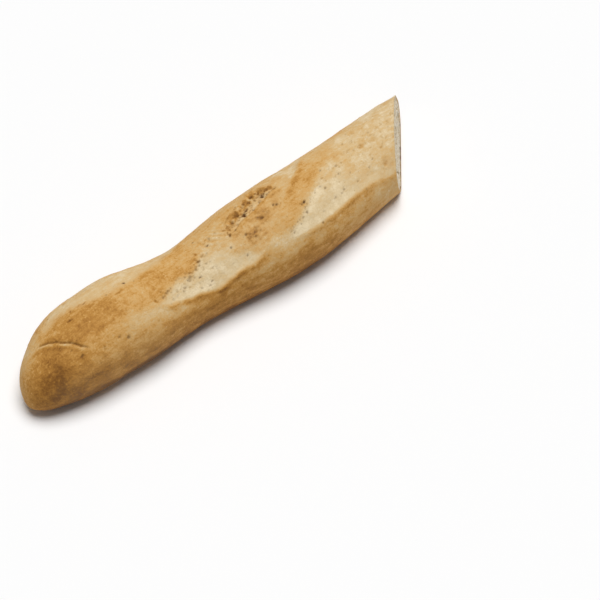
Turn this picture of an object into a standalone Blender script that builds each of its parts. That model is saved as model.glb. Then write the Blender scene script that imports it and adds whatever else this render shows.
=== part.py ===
"""Half a baguette: the heel end of a long white loaf, cut through on the bias.

The loaf lies on its flat baked base. It runs along X, with the heel at -X and the cut at +X.
Its skin is worked out station by station from a few sizes: how wide the loaf is, how it bends
sideways, how the heel closes, and where the scored top has opened. All sizes are millimetres,
measured from the tip of the heel, and become metres when the points are placed.
"""
import math

import bmesh
import bpy
import numpy as np

NAME = "baguette"
MM = 0.001

# Mesh: stations from the heel to past the cut, and points round each station.
STATIONS = 88
AROUND = 56
OUTLINE_STEPS = 360
RAW_LENGTH = 340.0

# Width: an even half width, a waist, a belly and a shoulder, and a slightly thinner cut end.
HALF_WIDTH = 27.6
WAIST = (-2.9, 118.0, 30.0)
BELLY = (2.7, 187.0, 41.0)
SHOULDER = (1.3, 74.0, 20.0)
THIN_END = 0.8
THIN_FROM, THIN_TO = 230.0, 280.0

# Section: height and base from the half width, the widest level, and the roundness of the top.
HEIGHT_RATIO = 1.45
BASE_RATIO = 0.62
WIDEST_LEVEL = 0.42
TOP_POWER = 2.1
CORNER_SHARE = 0.6

# Bend: the heel lies to the +Y side of the middle, and the cut end a little as well.
HEEL_SHIFT = 12.8
HEEL_BEND_FROM, HEEL_BEND_TO = 24.0, 209.0
END_SHIFT = 3.3
END_BEND_FROM, END_BEND_TO = 200.0, 289.0

# Heel: a blunt rounded nose whose tip sits low and to the near side.
NOSE_LENGTH = 49.0
NOSE_POWER = 1.8
NOSE_HEIGHT = 8.0
NOSE_SHIFT = -6.0

# Cut: a knife cut on the bias, whose plane leans back a little from the upright.
CUT_BIAS = math.radians(44.5)
CUT_LEAN = math.radians(8.7)
CUT_DISTANCE = 203.3

# Scoring: where each opened score starts and ends along the loaf, the girth (measured from
# the crest, + to the far side) of its near lip and of its far edge at points along it,
# how deep its floor lies by the lip and how high the lip stands. The floor rises to the far edge.
SCORES = (
    {"x": (27.0, 43.0, 66.0, 100.0, 135.0), "near": (12.0, 15.0, 5.0, 9.0, 20.0),
     "far": (13.0, 27.0, 31.0, 31.0, 21.0), "depth": 1.2, "lip": 0.3},
    {"x": (84.0, 96.0, 124.0, 160.0, 196.0, 222.0), "near": (-16.0, -20.0, -23.0, -21.0, 4.0, 22.0),
     "far": (-15.0, -12.0, -4.0, 10.0, 20.0, 24.0), "depth": 2.0, "lip": 0.9},
    {"x": (172.0, 188.0, 211.0, 242.0, 280.0, 330.0), "near": (-25.0, -27.0, -28.0, -24.0, -18.0, -12.0),
     "far": (-24.0, -17.0, -3.0, 11.0, 16.0, 18.0), "depth": 1.8, "lip": 0.7},
)
LIP_WIDTH = 3.0
LIP_EDGE = 0.5
FLOOR_RISE = 0.9
EDGE_FADE = 4.0
END_FADE = 8.0

# Fissure: the split beside the middle score, as a trough along a line of girths.
FISSURE = {"x": (142.0, 156.0, 171.0, 190.0), "girth": (-1.0, 3.0, 8.0, 12.0)}
FISSURE_DEPTH = 2.2
FISSURE_WIDTH = 4.0

CRUST_COLOUR = (0.55, 0.33, 0.13, 1.0)
CRUST_ROUGHNESS = 0.8


def smooth_step(value, start, end):
    """Rise evenly from 0 at start to 1 at end."""
    t = min(max((value - start) / (end - start), 0.0), 1.0)
    return t * t * (3.0 - 2.0 * t)


def swell(x, shape):
    """One local change of the half width: its amount, its place and its reach."""
    amount, place, reach = shape
    return amount * math.exp(-((x - place) / reach) ** 2)


def half_width(x):
    """Half the loaf's width at station x, before the nose closes."""
    swells = swell(x, WAIST) + swell(x, BELLY) + swell(x, SHOULDER)
    return HALF_WIDTH + swells - THIN_END * smooth_step(x, THIN_FROM, THIN_TO)


def middle(x):
    """Sideways place of the loaf's middle line at station x."""
    heel = HEEL_SHIFT * (1.0 - smooth_step(x, HEEL_BEND_FROM, HEEL_BEND_TO))
    return heel + END_SHIFT * smooth_step(x, END_BEND_FROM, END_BEND_TO)


def nose(x):
    """Size of the section at x as a share of the full one, 0 at the tip of the heel."""
    short_of = max(NOSE_LENGTH - x, 0.0) / NOSE_LENGTH
    return max(1.0 - short_of ** NOSE_POWER, 0.0) ** (1.0 / NOSE_POWER)


def full_section(wide):
    """Outline of the full section: from under the base, over the near side, round to it again.

    The top is a rounded arch, each lower corner a quarter round, and the base is flat.
    Returns arrays of the sideways place and of the height.
    """
    high = HEIGHT_RATIO * wide
    base = BASE_RATIO * wide
    level = WIDEST_LEVEL * high
    turn = np.linspace(-math.pi, math.pi, OUTLINE_STEPS + 1)
    side = np.sign(turn)
    arch = np.abs(turn) <= math.pi / 2
    top_y = wide * np.abs(np.sin(turn)) ** (2.0 / TOP_POWER)
    top_z = level + (high - level) * np.abs(np.cos(turn)) ** (2.0 / TOP_POWER)
    below = np.clip((np.abs(turn) - math.pi / 2) / (math.pi / 2), 0.0, 1.0)
    corner = np.clip(below / CORNER_SHARE, 0.0, 1.0) * math.pi / 2
    inward = np.clip((below - CORNER_SHARE) / (1.0 - CORNER_SHARE), 0.0, 1.0)
    low_y = (base + (wide - base) * np.cos(corner)) * (1.0 - inward)
    low_z = level * (1.0 - np.sin(corner))
    low_z[below >= CORNER_SHARE] = 0.0
    return side * np.where(arch, top_y, low_y), np.where(arch, top_z, low_z)


def station(x, count):
    """Evenly spaced skin points of the section at x, with the girth of each from the crest."""
    y, z = full_section(half_width(x))
    share = nose(x)
    y = middle(x) + NOSE_SHIFT * (1.0 - share) + y * share
    z = NOSE_HEIGHT + (z - NOSE_HEIGHT) * share
    walked = np.concatenate(([0.0], np.cumsum(np.hypot(np.diff(y), np.diff(z)))))
    crest = walked[OUTLINE_STEPS // 2]
    wanted = walked[-1] * np.arange(count) / count
    return np.interp(wanted, walked, y), np.interp(wanted, walked, z), wanted - crest


def score_relief(x, girth, score):
    """Height of the skin over the plain loaf at one point, from one opened score."""
    start, end = score["x"][0], score["x"][-1]
    if not start < x < end:
        return 0.0
    near = np.interp(x, score["x"], score["near"])
    far = np.interp(x, score["x"], score["far"])
    ends = smooth_step(x, start, start + END_FADE) * (1.0 - smooth_step(x, end - END_FADE, end))
    inside = smooth_step(girth, near - LIP_EDGE, near + EDGE_FADE / 2)
    inside *= 1.0 - smooth_step(girth, far - EDGE_FADE, far)
    rise = 1.0 - FLOOR_RISE * smooth_step(girth, near, far + 0.01)
    lip = score["lip"] * math.exp(-((girth - near + LIP_WIDTH / 2) / LIP_WIDTH) ** 2)
    return ends * (lip - score["depth"] * inside * rise)


def fissure_relief(x, girth):
    """Depth of the split beside the middle score at one point, as a negative height."""
    start, end = FISSURE["x"][0], FISSURE["x"][-1]
    if not start < x < end:
        return 0.0
    line = np.interp(x, FISSURE["x"], FISSURE["girth"])
    ends = math.sin(math.pi * (x - start) / (end - start))
    return -FISSURE_DEPTH * ends * math.exp(-((girth - line) / FISSURE_WIDTH) ** 2)


def relief(x, girth):
    """Height of the scored top over the plain loaf at one point."""
    return sum(score_relief(x, girth, score) for score in SCORES) + fissure_relief(x, girth)


def skin_ring(x):
    """Points round the loaf at station x, with the scores' relief added outward."""
    y, z, girth = station(x, AROUND)
    tangent_y = np.roll(y, -1) - np.roll(y, 1)
    tangent_z = np.roll(z, -1) - np.roll(z, 1)
    length = np.hypot(tangent_y, tangent_z) + 1e-9
    # The outline runs from the near side over the top, so outward is to the left of it.
    out_y, out_z = -tangent_z / length, tangent_y / length
    lift = np.array([relief(x, g) for g in girth]) * nose(x)
    return y + out_y * lift, z + out_z * lift


def station_place(index):
    """Distance along the loaf of one station: close together at the nose, even after it."""
    share = index / STATIONS
    return RAW_LENGTH * share ** 1.25


def loaf_mesh():
    """The closed skin of the loaf: a sphere with poles at both ends, moved onto the stations."""
    mesh = bmesh.new()
    bmesh.ops.create_uvsphere(mesh, u_segments=AROUND, v_segments=STATIONS, radius=1.0)
    rings = {}
    for vert in mesh.verts:
        index = round(math.acos(min(max(vert.co.z, -1.0), 1.0)) / math.pi * STATIONS)
        around = round(math.atan2(vert.co.y, vert.co.x) / (2.0 * math.pi) * AROUND) % AROUND
        x = station_place(index)
        if index not in rings:
            rings[index] = skin_ring(x)
        y, z = rings[index]
        if index == STATIONS:
            vert.co = (x * MM, float(np.mean(y)) * MM, float(np.mean(z)) * MM)
        else:
            vert.co = (x * MM, float(y[around]) * MM, float(z[around]) * MM)
    return mesh


def cut_end(mesh):
    """Slice the end off with the leaning bias plane, and close the cut with one flat face."""
    flat = math.cos(CUT_LEAN)
    normal = (math.cos(CUT_BIAS) * flat, -math.sin(CUT_BIAS) * flat, math.sin(CUT_LEAN))
    point = [CUT_DISTANCE * MM * part for part in normal]
    geometry = mesh.verts[:] + mesh.edges[:] + mesh.faces[:]
    cut = bmesh.ops.bisect_plane(mesh, geom=geometry, plane_co=point, plane_no=normal,
                                 clear_outer=True, dist=1e-7)
    edges = [part for part in cut["geom_cut"] if isinstance(part, bmesh.types.BMEdge)]
    bmesh.ops.contextual_create(mesh, geom=edges)


def merge_slivers(mesh):
    """Join points that the cut left almost on top of each other."""
    bmesh.ops.remove_doubles(mesh, verts=mesh.verts[:], dist=0.4 * MM)


def centre_on_base(mesh):
    """Move the loaf so that the middle of its box, on the base, is the origin."""
    low = [min(vert.co[axis] for vert in mesh.verts) for axis in range(3)]
    high = [max(vert.co[axis] for vert in mesh.verts) for axis in range(3)]
    shift = (-(low[0] + high[0]) / 2, -(low[1] + high[1]) / 2, -low[2])
    bmesh.ops.translate(mesh, vec=shift, verts=mesh.verts[:])


def crust_material():
    """Baked wheat crust: golden tan and dull."""
    material = bpy.data.materials.new("baked_crust")
    material.use_nodes = True
    shader = material.node_tree.nodes["Principled BSDF"]
    shader.inputs["Base Color"].default_value = CRUST_COLOUR
    shader.inputs["Roughness"].default_value = CRUST_ROUGHNESS
    shader.inputs["Metallic"].default_value = 0.0
    return material


def build():
    """Model the half loaf as one closed solid in a collection of its own."""
    for item in list(bpy.data.objects):
        bpy.data.objects.remove(item, do_unlink=True)
    mesh = loaf_mesh()
    cut_end(mesh)
    merge_slivers(mesh)
    bmesh.ops.triangulate(mesh, faces=mesh.faces[:])
    bmesh.ops.recalc_face_normals(mesh, faces=mesh.faces[:])
    centre_on_base(mesh)
    data = bpy.data.meshes.new(NAME)
    mesh.to_mesh(data)
    mesh.free()
    data.shade_smooth()
    data.set_sharp_from_angle(angle=math.radians(40.0))
    loaf = bpy.data.objects.new(NAME, data)
    loaf.data.materials.append(crust_material())
    collection = bpy.data.collections.new("half_" + NAME)
    bpy.context.scene.collection.children.link(collection)
    collection.objects.link(loaf)


build()
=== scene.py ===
"""Half a baguette: baked crust with opened scores, and the porous crumb of its bias cut.

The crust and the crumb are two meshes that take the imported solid's place. Lengths are millimetres
along the loaf from the tip of the heel, and girths are millimetres over the skin from the crest,
+ to the far side. They become metres in the frame when a mesh is placed.
"""
from __future__ import annotations

import logging
import math
from dataclasses import dataclass, field
from enum import Enum

import bmesh
import bpy
import numpy as np
from mathutils import Matrix, Vector

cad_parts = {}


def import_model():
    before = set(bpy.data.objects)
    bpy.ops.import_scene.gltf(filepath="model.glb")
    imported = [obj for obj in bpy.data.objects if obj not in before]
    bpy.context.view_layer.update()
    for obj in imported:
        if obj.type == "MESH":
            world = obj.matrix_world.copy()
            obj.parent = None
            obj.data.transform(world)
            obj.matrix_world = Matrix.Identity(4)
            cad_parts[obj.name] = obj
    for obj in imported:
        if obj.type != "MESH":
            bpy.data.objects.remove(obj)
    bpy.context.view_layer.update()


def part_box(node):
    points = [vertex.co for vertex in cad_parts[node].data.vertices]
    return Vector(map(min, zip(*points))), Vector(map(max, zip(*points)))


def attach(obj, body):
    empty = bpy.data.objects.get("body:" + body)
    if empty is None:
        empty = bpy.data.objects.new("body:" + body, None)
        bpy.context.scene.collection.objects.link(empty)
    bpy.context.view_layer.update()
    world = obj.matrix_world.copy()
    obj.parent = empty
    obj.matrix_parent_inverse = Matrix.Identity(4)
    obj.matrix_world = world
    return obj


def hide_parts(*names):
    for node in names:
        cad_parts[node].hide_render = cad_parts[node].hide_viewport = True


LOG = logging.getLogger("baguette")
NODE = "baguette"
BODY = "root"
MM = 0.001
QUARTER = math.pi / 2
Span = tuple[float, float]
Points = tuple[Span, ...]
Rows = tuple[tuple[float, ...], ...]
Tones = tuple[tuple[float, str], ...]
Socket = bpy.types.NodeSocket


class Layer(Enum):
    """What a piece's points carry for its finish, by the name of the attribute.

    The first four lie on the crust, and the rest on the crumb.
    """

    BAKE = "bake"
    FLOUR = "flour"
    SCORCH = "scorch"
    WITHIN = "within"
    DEPTH = "depth"
    TOAST = "toast"
    RIND = "rind"
    LOW = "low"

    def store(self, piece: bpy.types.Object, values: np.ndarray) -> None:
        """Lay one value on each point of a piece."""
        layer = piece.data.attributes.new(self.value, "FLOAT", "POINT")
        layer.data.foreach_set("value", values.astype(np.float32))


# ----------------------------------------------------------------------------- small helpers


def smooth_step(value: np.ndarray, start: float, end: float) -> np.ndarray:
    """Rise evenly from 0 at start to 1 at end.

    Args:
        value: Numbers to shape.
        start: Where the rise begins.
        end: Where it ends.

    Returns:
        Numbers from 0 to 1, one for each value.
    """
    t = np.clip((value - start) / (end - start), 0.0, 1.0)
    return t * t * (3.0 - 2.0 * t)


def bell(value: np.ndarray, reach: float) -> np.ndarray:
    """Round bump of height 1 at 0 that has faded at about twice its reach."""
    return np.exp(-((value / reach) ** 2))


def curve(points: Points, at: np.ndarray) -> np.ndarray:
    """Smooth curve through a few points.

    Args:
        points: Pairs of place and value, with rising places.
        at: Places to read it at.

    Returns:
        Value at each place, held level outside the points.
    """
    xs, ys = np.array(points, dtype=float).T
    slopes = np.gradient(ys, xs)
    at = np.clip(at, xs[0], xs[-1])
    i = np.clip(np.searchsorted(xs, at) - 1, 0, len(xs) - 2)
    width = xs[i + 1] - xs[i]
    t = (at - xs[i]) / width
    rest = 1.0 - t
    ends = ys[i] * (1.0 + 2.0 * t) * rest**2 + ys[i + 1] * (3.0 - 2.0 * t) * t**2
    return ends + width * (slopes[i] * t * rest**2 - slopes[i + 1] * rest * t**2)


def slope(points: Points, at: np.ndarray, step: float = 0.5) -> np.ndarray:
    """Steepness of the curve through a few points, measured a step to either side."""
    return (curve(points, at + step) - curve(points, at - step)) / (2.0 * step)


def share_across(past: np.ndarray, left: np.ndarray) -> np.ndarray:
    """Share of the way over an opening, from the distances past its near edge and left to its far one."""
    return np.clip(past / np.maximum(past + np.maximum(left, 0.0), 1.0), 0.0, 1.0)


def walked(points: np.ndarray) -> np.ndarray:
    """Distance along a line of points from its first one."""
    return np.concatenate([[0.0], np.cumsum(np.linalg.norm(np.diff(points, axis=0), axis=1))])


def points_of(piece: bpy.types.Object) -> np.ndarray:
    """Points of a piece's mesh, one to a row."""
    return np.array([vertex.co for vertex in piece.data.vertices])


def tidy_mesh(piece: bpy.types.Object) -> None:
    """Turn a finished piece's faces outward, shade it smooth and leave nothing selected.

    Args:
        piece: The finished piece.
    """
    mesh = bmesh.new()
    mesh.from_mesh(piece.data)
    bmesh.ops.recalc_face_normals(mesh, faces=mesh.faces[:])
    mesh.to_mesh(piece.data)
    mesh.free()
    piece.data.shade_smooth()
    piece.select_set(False)


@dataclass(frozen=True)
class Grain:
    """Seeded smooth noise in space: random numbers on a lattice, blended between its points.

    origin is the lattice's place, far enough off to keep every point on its positive side.
    """

    seed: int
    size: int = 48
    origin: float = 1000.0

    def at(self, points: np.ndarray, pitch: float) -> np.ndarray:
        """Noise from -1 to 1.

        Args:
            points: Places, with x, y and z in the last axis.
            pitch: Distance between lattice points, in the unit of the places.

        Returns:
            One number for each place.
        """
        table = np.random.default_rng(self.seed).random((self.size,) * 3) * 2.0 - 1.0
        place = points / pitch + self.origin
        low = np.floor(place).astype(int)
        part = place - low
        part = part * part * (3.0 - 2.0 * part)
        total = np.zeros(points.shape[:-1])
        for corner in np.ndindex(2, 2, 2):
            step = np.array(corner)
            index = (low + step) % self.size
            weight = np.prod(np.where(step, part, 1.0 - part), axis=-1)
            total += weight * table[index[..., 0], index[..., 1], index[..., 2]]
        return total

    def layered(self, points: np.ndarray, pitch: float, layers: int = 3) -> np.ndarray:
        """Sum of layers of noise, each at half the pitch and strength of the last.

        Args:
            points: Places, with x, y and z in the last axis.
            pitch: Lattice distance of the first layer.
            layers: How many layers.

        Returns:
            One number for each place, within about -1 to 1.
        """
        total = np.zeros(points.shape[:-1])
        for layer in range(layers):
            total += Grain(self.seed + layer).at(points, pitch / 2**layer) / 2**layer
        return total / (2.0 - 0.5 ** (layers - 1))


# ----------------------------------------------------------------------------- form of the loaf


@dataclass(frozen=True)
class LoafForm:
    """Sizes of the plain loaf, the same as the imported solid's, in millimetres."""

    half_width: float = 27.6
    waist: tuple[float, float, float] = (-2.9, 118.0, 30.0)
    belly: tuple[float, float, float] = (2.7, 187.0, 41.0)
    shoulder: tuple[float, float, float] = (1.3, 74.0, 20.0)
    thin_end: float = 0.8
    thin_span: Span = (230.0, 280.0)
    height_ratio: float = 1.45
    base_ratio: float = 0.62
    widest_level: float = 0.42
    top_power: float = 2.1
    corner_share: float = 0.6
    heel_shift: float = 12.8
    heel_bend: Span = (24.0, 209.0)
    end_shift: float = 3.3
    end_bend: Span = (200.0, 289.0)
    nose_length: float = 49.0
    nose_power: float = 1.8
    nose_height: float = 8.0
    nose_shift: float = -6.0
    cut_bias: float = math.radians(44.5)
    cut_lean: float = math.radians(8.7)
    cut_distance: float = 203.3
    cut_guess: float = 280.0
    cut_rounds: int = 12

    def width_at(self, x: np.ndarray) -> np.ndarray:
        """Half the loaf's width at each length, before the nose closes.

        Args:
            x: Lengths along the loaf.

        Returns:
            The half widths.
        """
        wide = self.half_width - self.thin_end * smooth_step(x, *self.thin_span)
        for amount, place, reach in (self.waist, self.belly, self.shoulder):
            wide = wide + amount * bell(x - place, reach)
        return wide

    def middle_at(self, x: np.ndarray) -> np.ndarray:
        """Sideways place of the middle line at each length."""
        heel = self.heel_shift * (1.0 - smooth_step(x, *self.heel_bend))
        return heel + self.end_shift * smooth_step(x, *self.end_bend)

    def nose_at(self, x: np.ndarray) -> np.ndarray:
        """Size of the section as a share of the full one, 0 at the tip of the heel."""
        short_of = np.clip(self.nose_length - x, 0.0, None) / self.nose_length
        return np.clip(1.0 - short_of**self.nose_power, 0.0, None) ** (1.0 / self.nose_power)

    def skin(self, x: np.ndarray, turn: np.ndarray) -> np.ndarray:
        """Points of the plain skin.

        Args:
            x: Length along the loaf of each point.
            turn: Turn round the section, 0 at the crest, a quarter turn at the widest level of
                the far side, and a half turn at the middle of the base.

        Returns:
            Points with x, y and z in the last axis.
        """
        wide = self.width_at(x)
        high = self.height_ratio * wide
        base = self.base_ratio * wide
        level = self.widest_level * high
        size = np.abs(turn)
        top_y = wide * np.abs(np.sin(turn)) ** (2.0 / self.top_power)
        top_z = level + (high - level) * np.abs(np.cos(turn)) ** (2.0 / self.top_power)
        below = np.clip(size / QUARTER - 1.0, 0.0, 1.0)
        corner = np.clip(below / self.corner_share, 0.0, 1.0) * QUARTER
        inward = np.clip((below - self.corner_share) / (1.0 - self.corner_share), 0.0, 1.0)
        low_y = (base + (wide - base) * np.cos(corner)) * (1.0 - inward)
        low_z = level * (1.0 - np.sin(corner))
        arch = size <= QUARTER
        share = self.nose_at(x)
        y = np.sign(turn) * np.where(arch, top_y, low_y)
        z = np.where(arch, top_z, low_z)
        y = self.middle_at(x) + self.nose_shift * (1.0 - share) + y * share
        z = self.nose_height + (z - self.nose_height) * share
        return np.stack([x, y, z], axis=-1)

    def cut_normal(self) -> np.ndarray:
        """Direction in which the cut face looks.

        Returns:
            A vector one unit long.
        """
        flat = math.cos(self.cut_lean)
        return np.array(
            [math.cos(self.cut_bias) * flat, -math.sin(self.cut_bias) * flat, math.sin(self.cut_lean)]
        )

    def cut_length(self, turn: np.ndarray) -> np.ndarray:
        """Length along the loaf at which the cut meets the skin, for each turn.

        Args:
            turn: Turns round the section, as skin takes them.

        Returns:
            The lengths.
        """
        normal = self.cut_normal()
        x = np.full(turn.shape, self.cut_guess)
        for _ in range(self.cut_rounds):
            point = self.skin(x, turn)
            x = (self.cut_distance - point[..., 1] * normal[1] - point[..., 2] * normal[2]) / normal[0]
        return x


@dataclass
class Placing:
    """Move from the loaf's own millimetres to the frame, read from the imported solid's box."""

    form: LoafForm
    turns: int = 361
    steps: int = 400
    shift: np.ndarray = field(init=False)
    scale: float = field(init=False)

    def __post_init__(self) -> None:
        """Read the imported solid's box, and fit the plain loaf's length and sides to it."""
        low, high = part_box(NODE)
        turn = np.linspace(-math.pi, math.pi, self.turns)
        end = self.form.cut_length(turn)
        x = np.linspace(0.0, 1.0, self.steps)[:, None] * end[None, :]
        points = self.form.skin(x, np.broadcast_to(turn, x.shape)).reshape(-1, 3)
        first, last = points.min(0), points.max(0)
        self.scale = (high.x - low.x) / (last[0] - first[0])
        self.shift = np.array((low + high) / 2) - (first + last) / 2 * self.scale
        self.shift[2] = low.z - first[2] * self.scale

    def place(self, points: np.ndarray) -> np.ndarray:
        """Points in the frame, in metres, from points in the loaf's own millimetres."""
        return points * self.scale + self.shift


# ----------------------------------------------------------------------------- relief of the crust


@dataclass
class Skin:
    """The crust's grid while it is worked on: rows along the loaf, columns round it.

    Lengths, girths and relief are millimetres. bake runs from 0, pale, to 1, deep brown, and also
    holds painted shade and a painted highlight. flour is the bare floury floor of a score, and also a
    painted shade tint on the heel's walls, and scorch is dark browning in pits and blisters.
    """

    length: np.ndarray
    girth: np.ndarray
    base: np.ndarray
    relief: np.ndarray = field(init=False)
    bake: np.ndarray = field(init=False)
    flour: np.ndarray = field(init=False)
    scorch: np.ndarray = field(init=False)

    def __post_init__(self) -> None:
        """Start with a bare skin."""
        self.relief, self.bake, self.flour, self.scorch = np.zeros((4, *self.length.shape))

    def lower_share(self) -> np.ndarray:
        """Girth as a share of the way from the crest, at 0, down to the middle of the base, at 1."""
        return np.abs(self.girth) / np.abs(self.girth).max(axis=1, keepdims=True).clip(1.0)

    def tone(self, weight: np.ndarray, bake: np.ndarray | float) -> None:
        """Bring the baking to a given tone where the weight is 1, and leave it where it is 0."""
        self.bake += (bake - self.bake) * np.clip(weight, 0.0, 1.0)

    def beyond(self, line: Points) -> np.ndarray:
        """Distance over the skin past a line of lengths and girths, + towards the far side."""
        steep = np.sqrt(1.0 + slope(line, self.length) ** 2)
        return (self.girth - curve(line, self.length)) / steep

    def between(self, start: float, end: float, fade_in: float, fade_out: float) -> np.ndarray:
        """Weight that is 1 between two lengths and fades within them."""
        rise = smooth_step(self.length, start, start + fade_in)
        return rise * (1.0 - smooth_step(self.length, end - fade_out, end))

    def about(self, length: Span, girth: Span) -> np.ndarray:
        """Weight that is 1 at one place and fades round it. Each pair is a place and a reach."""
        return bell(self.length - length[0], length[1]) * bell(self.girth - girth[0], girth[1])


@dataclass(frozen=True)
class Score:
    """One opened score: a pale floor that rises from under a near lip to its far edge.

    near and far are the edges, and bare is the far side of the strip that stayed bare and floury.
    depth is that of the floor, lip the height of the torn lip, lip_browning_and_shade the darkening
    of its outer side, partly browning and partly painted shade under the lip, bare_tone the baking
    of the bare strip and floor_tone that of the rest of the floor. The pitches are those of the noise
    that makes the edges ragged, marbles the floor and breaks the lip, and a number beside a noise is
    how far it moves an edge, in millimetres.
    """

    near: Points
    bare: Points
    far: Points
    depth: Points
    lip: Points
    lip_browning_and_shade: Points
    bare_tone: Points
    floor_tone: Points
    flour: float
    near_soft: float
    far_soft: float
    seed: int
    rough_pitch: float = 4.2
    fine_pitch: float = 1.5
    wide_pitch: float = 9.0
    marble_pitch: float = 5.0
    broken_pitch: float = 5.0
    end_fades: Span = (7.0, 6.0)
    floor_slope: Span = (-0.2, 6.5)
    floor_rise: float = 0.85
    bare_soft: float = 2.6
    marbling: float = 0.26
    fine_marbling: float = 0.06
    lip_reaches: Span = (1.6, 2.0)
    swell: float = 0.4
    crest_tone: float = 0.52

    def apply(self, skin: Skin) -> None:
        """Sink the floor, raise the lip and colour both.

        Args:
            skin: The crust's grid, changed in place.
        """
        fine = Grain(self.seed + 1).at(skin.base, self.fine_pitch)
        past = skin.beyond(self.near) + 0.5 * Grain(self.seed).at(skin.base, self.rough_pitch) + 0.25 * fine
        ends = skin.between(self.near[0][0], self.near[-1][0], *self.end_fades)
        self.open_floor(skin, past, fine, ends)
        self.raise_lip(skin, past, fine, ends)

    def open_floor(self, skin: Skin, past: np.ndarray, fine: np.ndarray, ends: np.ndarray) -> None:
        """Sink and colour the floor.

        Args:
            skin: The crust's grid, changed in place.
            past: Distance past the ragged near edge.
            fine: Fine noise.
            ends: Weight that fades at the score's two ends.
        """
        wide = Grain(self.seed + 2).layered(skin.base, self.wide_pitch, 3)
        left = -skin.beyond(self.far) + 2.4 * wide + 0.5 * fine
        to_far = smooth_step(left, -0.6 * self.far_soft, self.far_soft) * ends
        room = smooth_step(past, -0.4 * self.near_soft, self.near_soft) * to_far
        sunk = smooth_step(past, *self.floor_slope) * to_far
        rise = 1.0 - self.floor_rise * share_across(past, left)
        skin.relief -= curve(self.depth, skin.length) * sunk * rise
        bare = smooth_step(3.2 * wide + fine - skin.beyond(self.bare), -self.bare_soft, self.bare_soft)
        floor_tone, bare_tone = curve(self.floor_tone, skin.length), curve(self.bare_tone, skin.length)
        marble = Grain(self.seed + 5).layered(skin.base * (0.7, 1.0, 1.0), self.marble_pitch, 3)
        marbled = self.marbling * marble + self.fine_marbling * fine
        skin.tone(room, floor_tone + (bare_tone - floor_tone) * bare + marbled)
        skin.flour = np.maximum(skin.flour, self.flour * room * (0.25 + 0.75 * bare))

    def raise_lip(self, skin: Skin, past: np.ndarray, fine: np.ndarray, ends: np.ndarray) -> None:
        """Raise the torn lip, darken its outer side with browning and painted shade, and leave its crest
        pale.

        Args:
            skin: The crust's grid, changed in place.
            past: Distance past the ragged near edge.
            fine: Fine noise.
            ends: Weight that fades at the score's two ends.
        """
        broken = np.clip(0.85 + 0.6 * Grain(self.seed + 8).at(skin.base, self.broken_pitch), 0.5, 1.15)
        lip = curve(self.lip, skin.length) * broken * ends
        peak = past + 0.5
        inner, outer = (bell(peak, reach) for reach in self.lip_reaches)
        skin.relief += lip * np.where(peak > 0.0, inner, outer)
        skin.relief += self.swell * lip * bell(past + 3.0, 4.0)
        # The lip's outer side is darker: partly browning and partly painted shade under the lip.
        brown = curve(self.lip_browning_and_shade, skin.length) * broken * ends
        close, wider = bell(past + 1.4, 1.3), bell(past + 2.4, 2.4) * smooth_step(-past, 0.4, 1.6)
        skin.bake += (0.20 + 0.06 * fine) * brown * (0.9 * close + 0.5 * wider)
        skin.tone(0.75 * bell(past - 0.3, 0.8) * np.clip(2.5 * lip, 0.0, 1.0), self.crest_tone)


@dataclass(frozen=True)
class Mark:
    """One mark in the skin: reach in millimetres, lift below 0 for a pit and above it for a blister."""

    length: float
    girth: float
    reach: float
    lift: float
    scorch: float
    bake: float = 0.0
    stretch: float = 1.0


@dataclass(frozen=True)
class MarkField:
    """A set of marks with ragged rims."""

    marks: list[Mark]
    seed: int
    rim_pitch: float = 1.4
    ragged: float = 0.75
    flatness: float = 1.15
    faded: float = 4.0

    def apply(self, skin: Skin) -> None:
        """Press or raise each mark and darken it.

        Args:
            skin: The crust's grid, changed in place.
        """
        wobble = self.ragged * Grain(self.seed).at(skin.base, self.rim_pitch)
        slant = self.ragged * Grain(self.seed + 1).at(skin.base, self.rim_pitch)
        for mark in self.marks:
            near = np.abs(skin.length - mark.length) < self.faded * mark.reach * mark.stretch + 1.0
            near &= np.abs(skin.girth - mark.girth) < self.faded * mark.reach + 1.0
            here = np.nonzero(near)
            dx = (skin.length[here] - mark.length) / mark.stretch + mark.reach * wobble[here]
            dg = skin.girth[here] - mark.girth + mark.reach * slant[here]
            shape = np.exp(-(((dx**2 + dg**2) / mark.reach**2) ** self.flatness))
            skin.relief[here] += mark.lift * shape
            skin.scorch[here] += mark.scorch * shape
            skin.bake[here] += mark.bake * shape


@dataclass(frozen=True)
class Scatter:
    """Fine marks without a place of their own, strewn about a line of lengths and girths."""

    line: Points
    span: Span
    count: int
    drift: float
    reach: Span
    lift: Span
    scorch: Span
    bake: Span
    seed: int
    stretch: Span = (0.7, 1.8)

    def throw(self, rng: np.random.Generator) -> MarkField:
        """Draw the marks.

        Args:
            rng: The generator that all scatters share, in their order.

        Returns:
            The marks, ready to apply.
        """
        places = rng.uniform(*self.span, self.count)
        girths = curve(self.line, places) + rng.normal(0.0, self.drift, self.count)
        ranges = (self.reach, self.lift, self.scorch, self.bake, self.stretch)
        marks = [
            Mark(float(x), float(g), *(float(rng.uniform(*limits)) for limits in ranges))
            for x, g in zip(places, girths)
        ]
        return MarkField(marks, self.seed)


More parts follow.
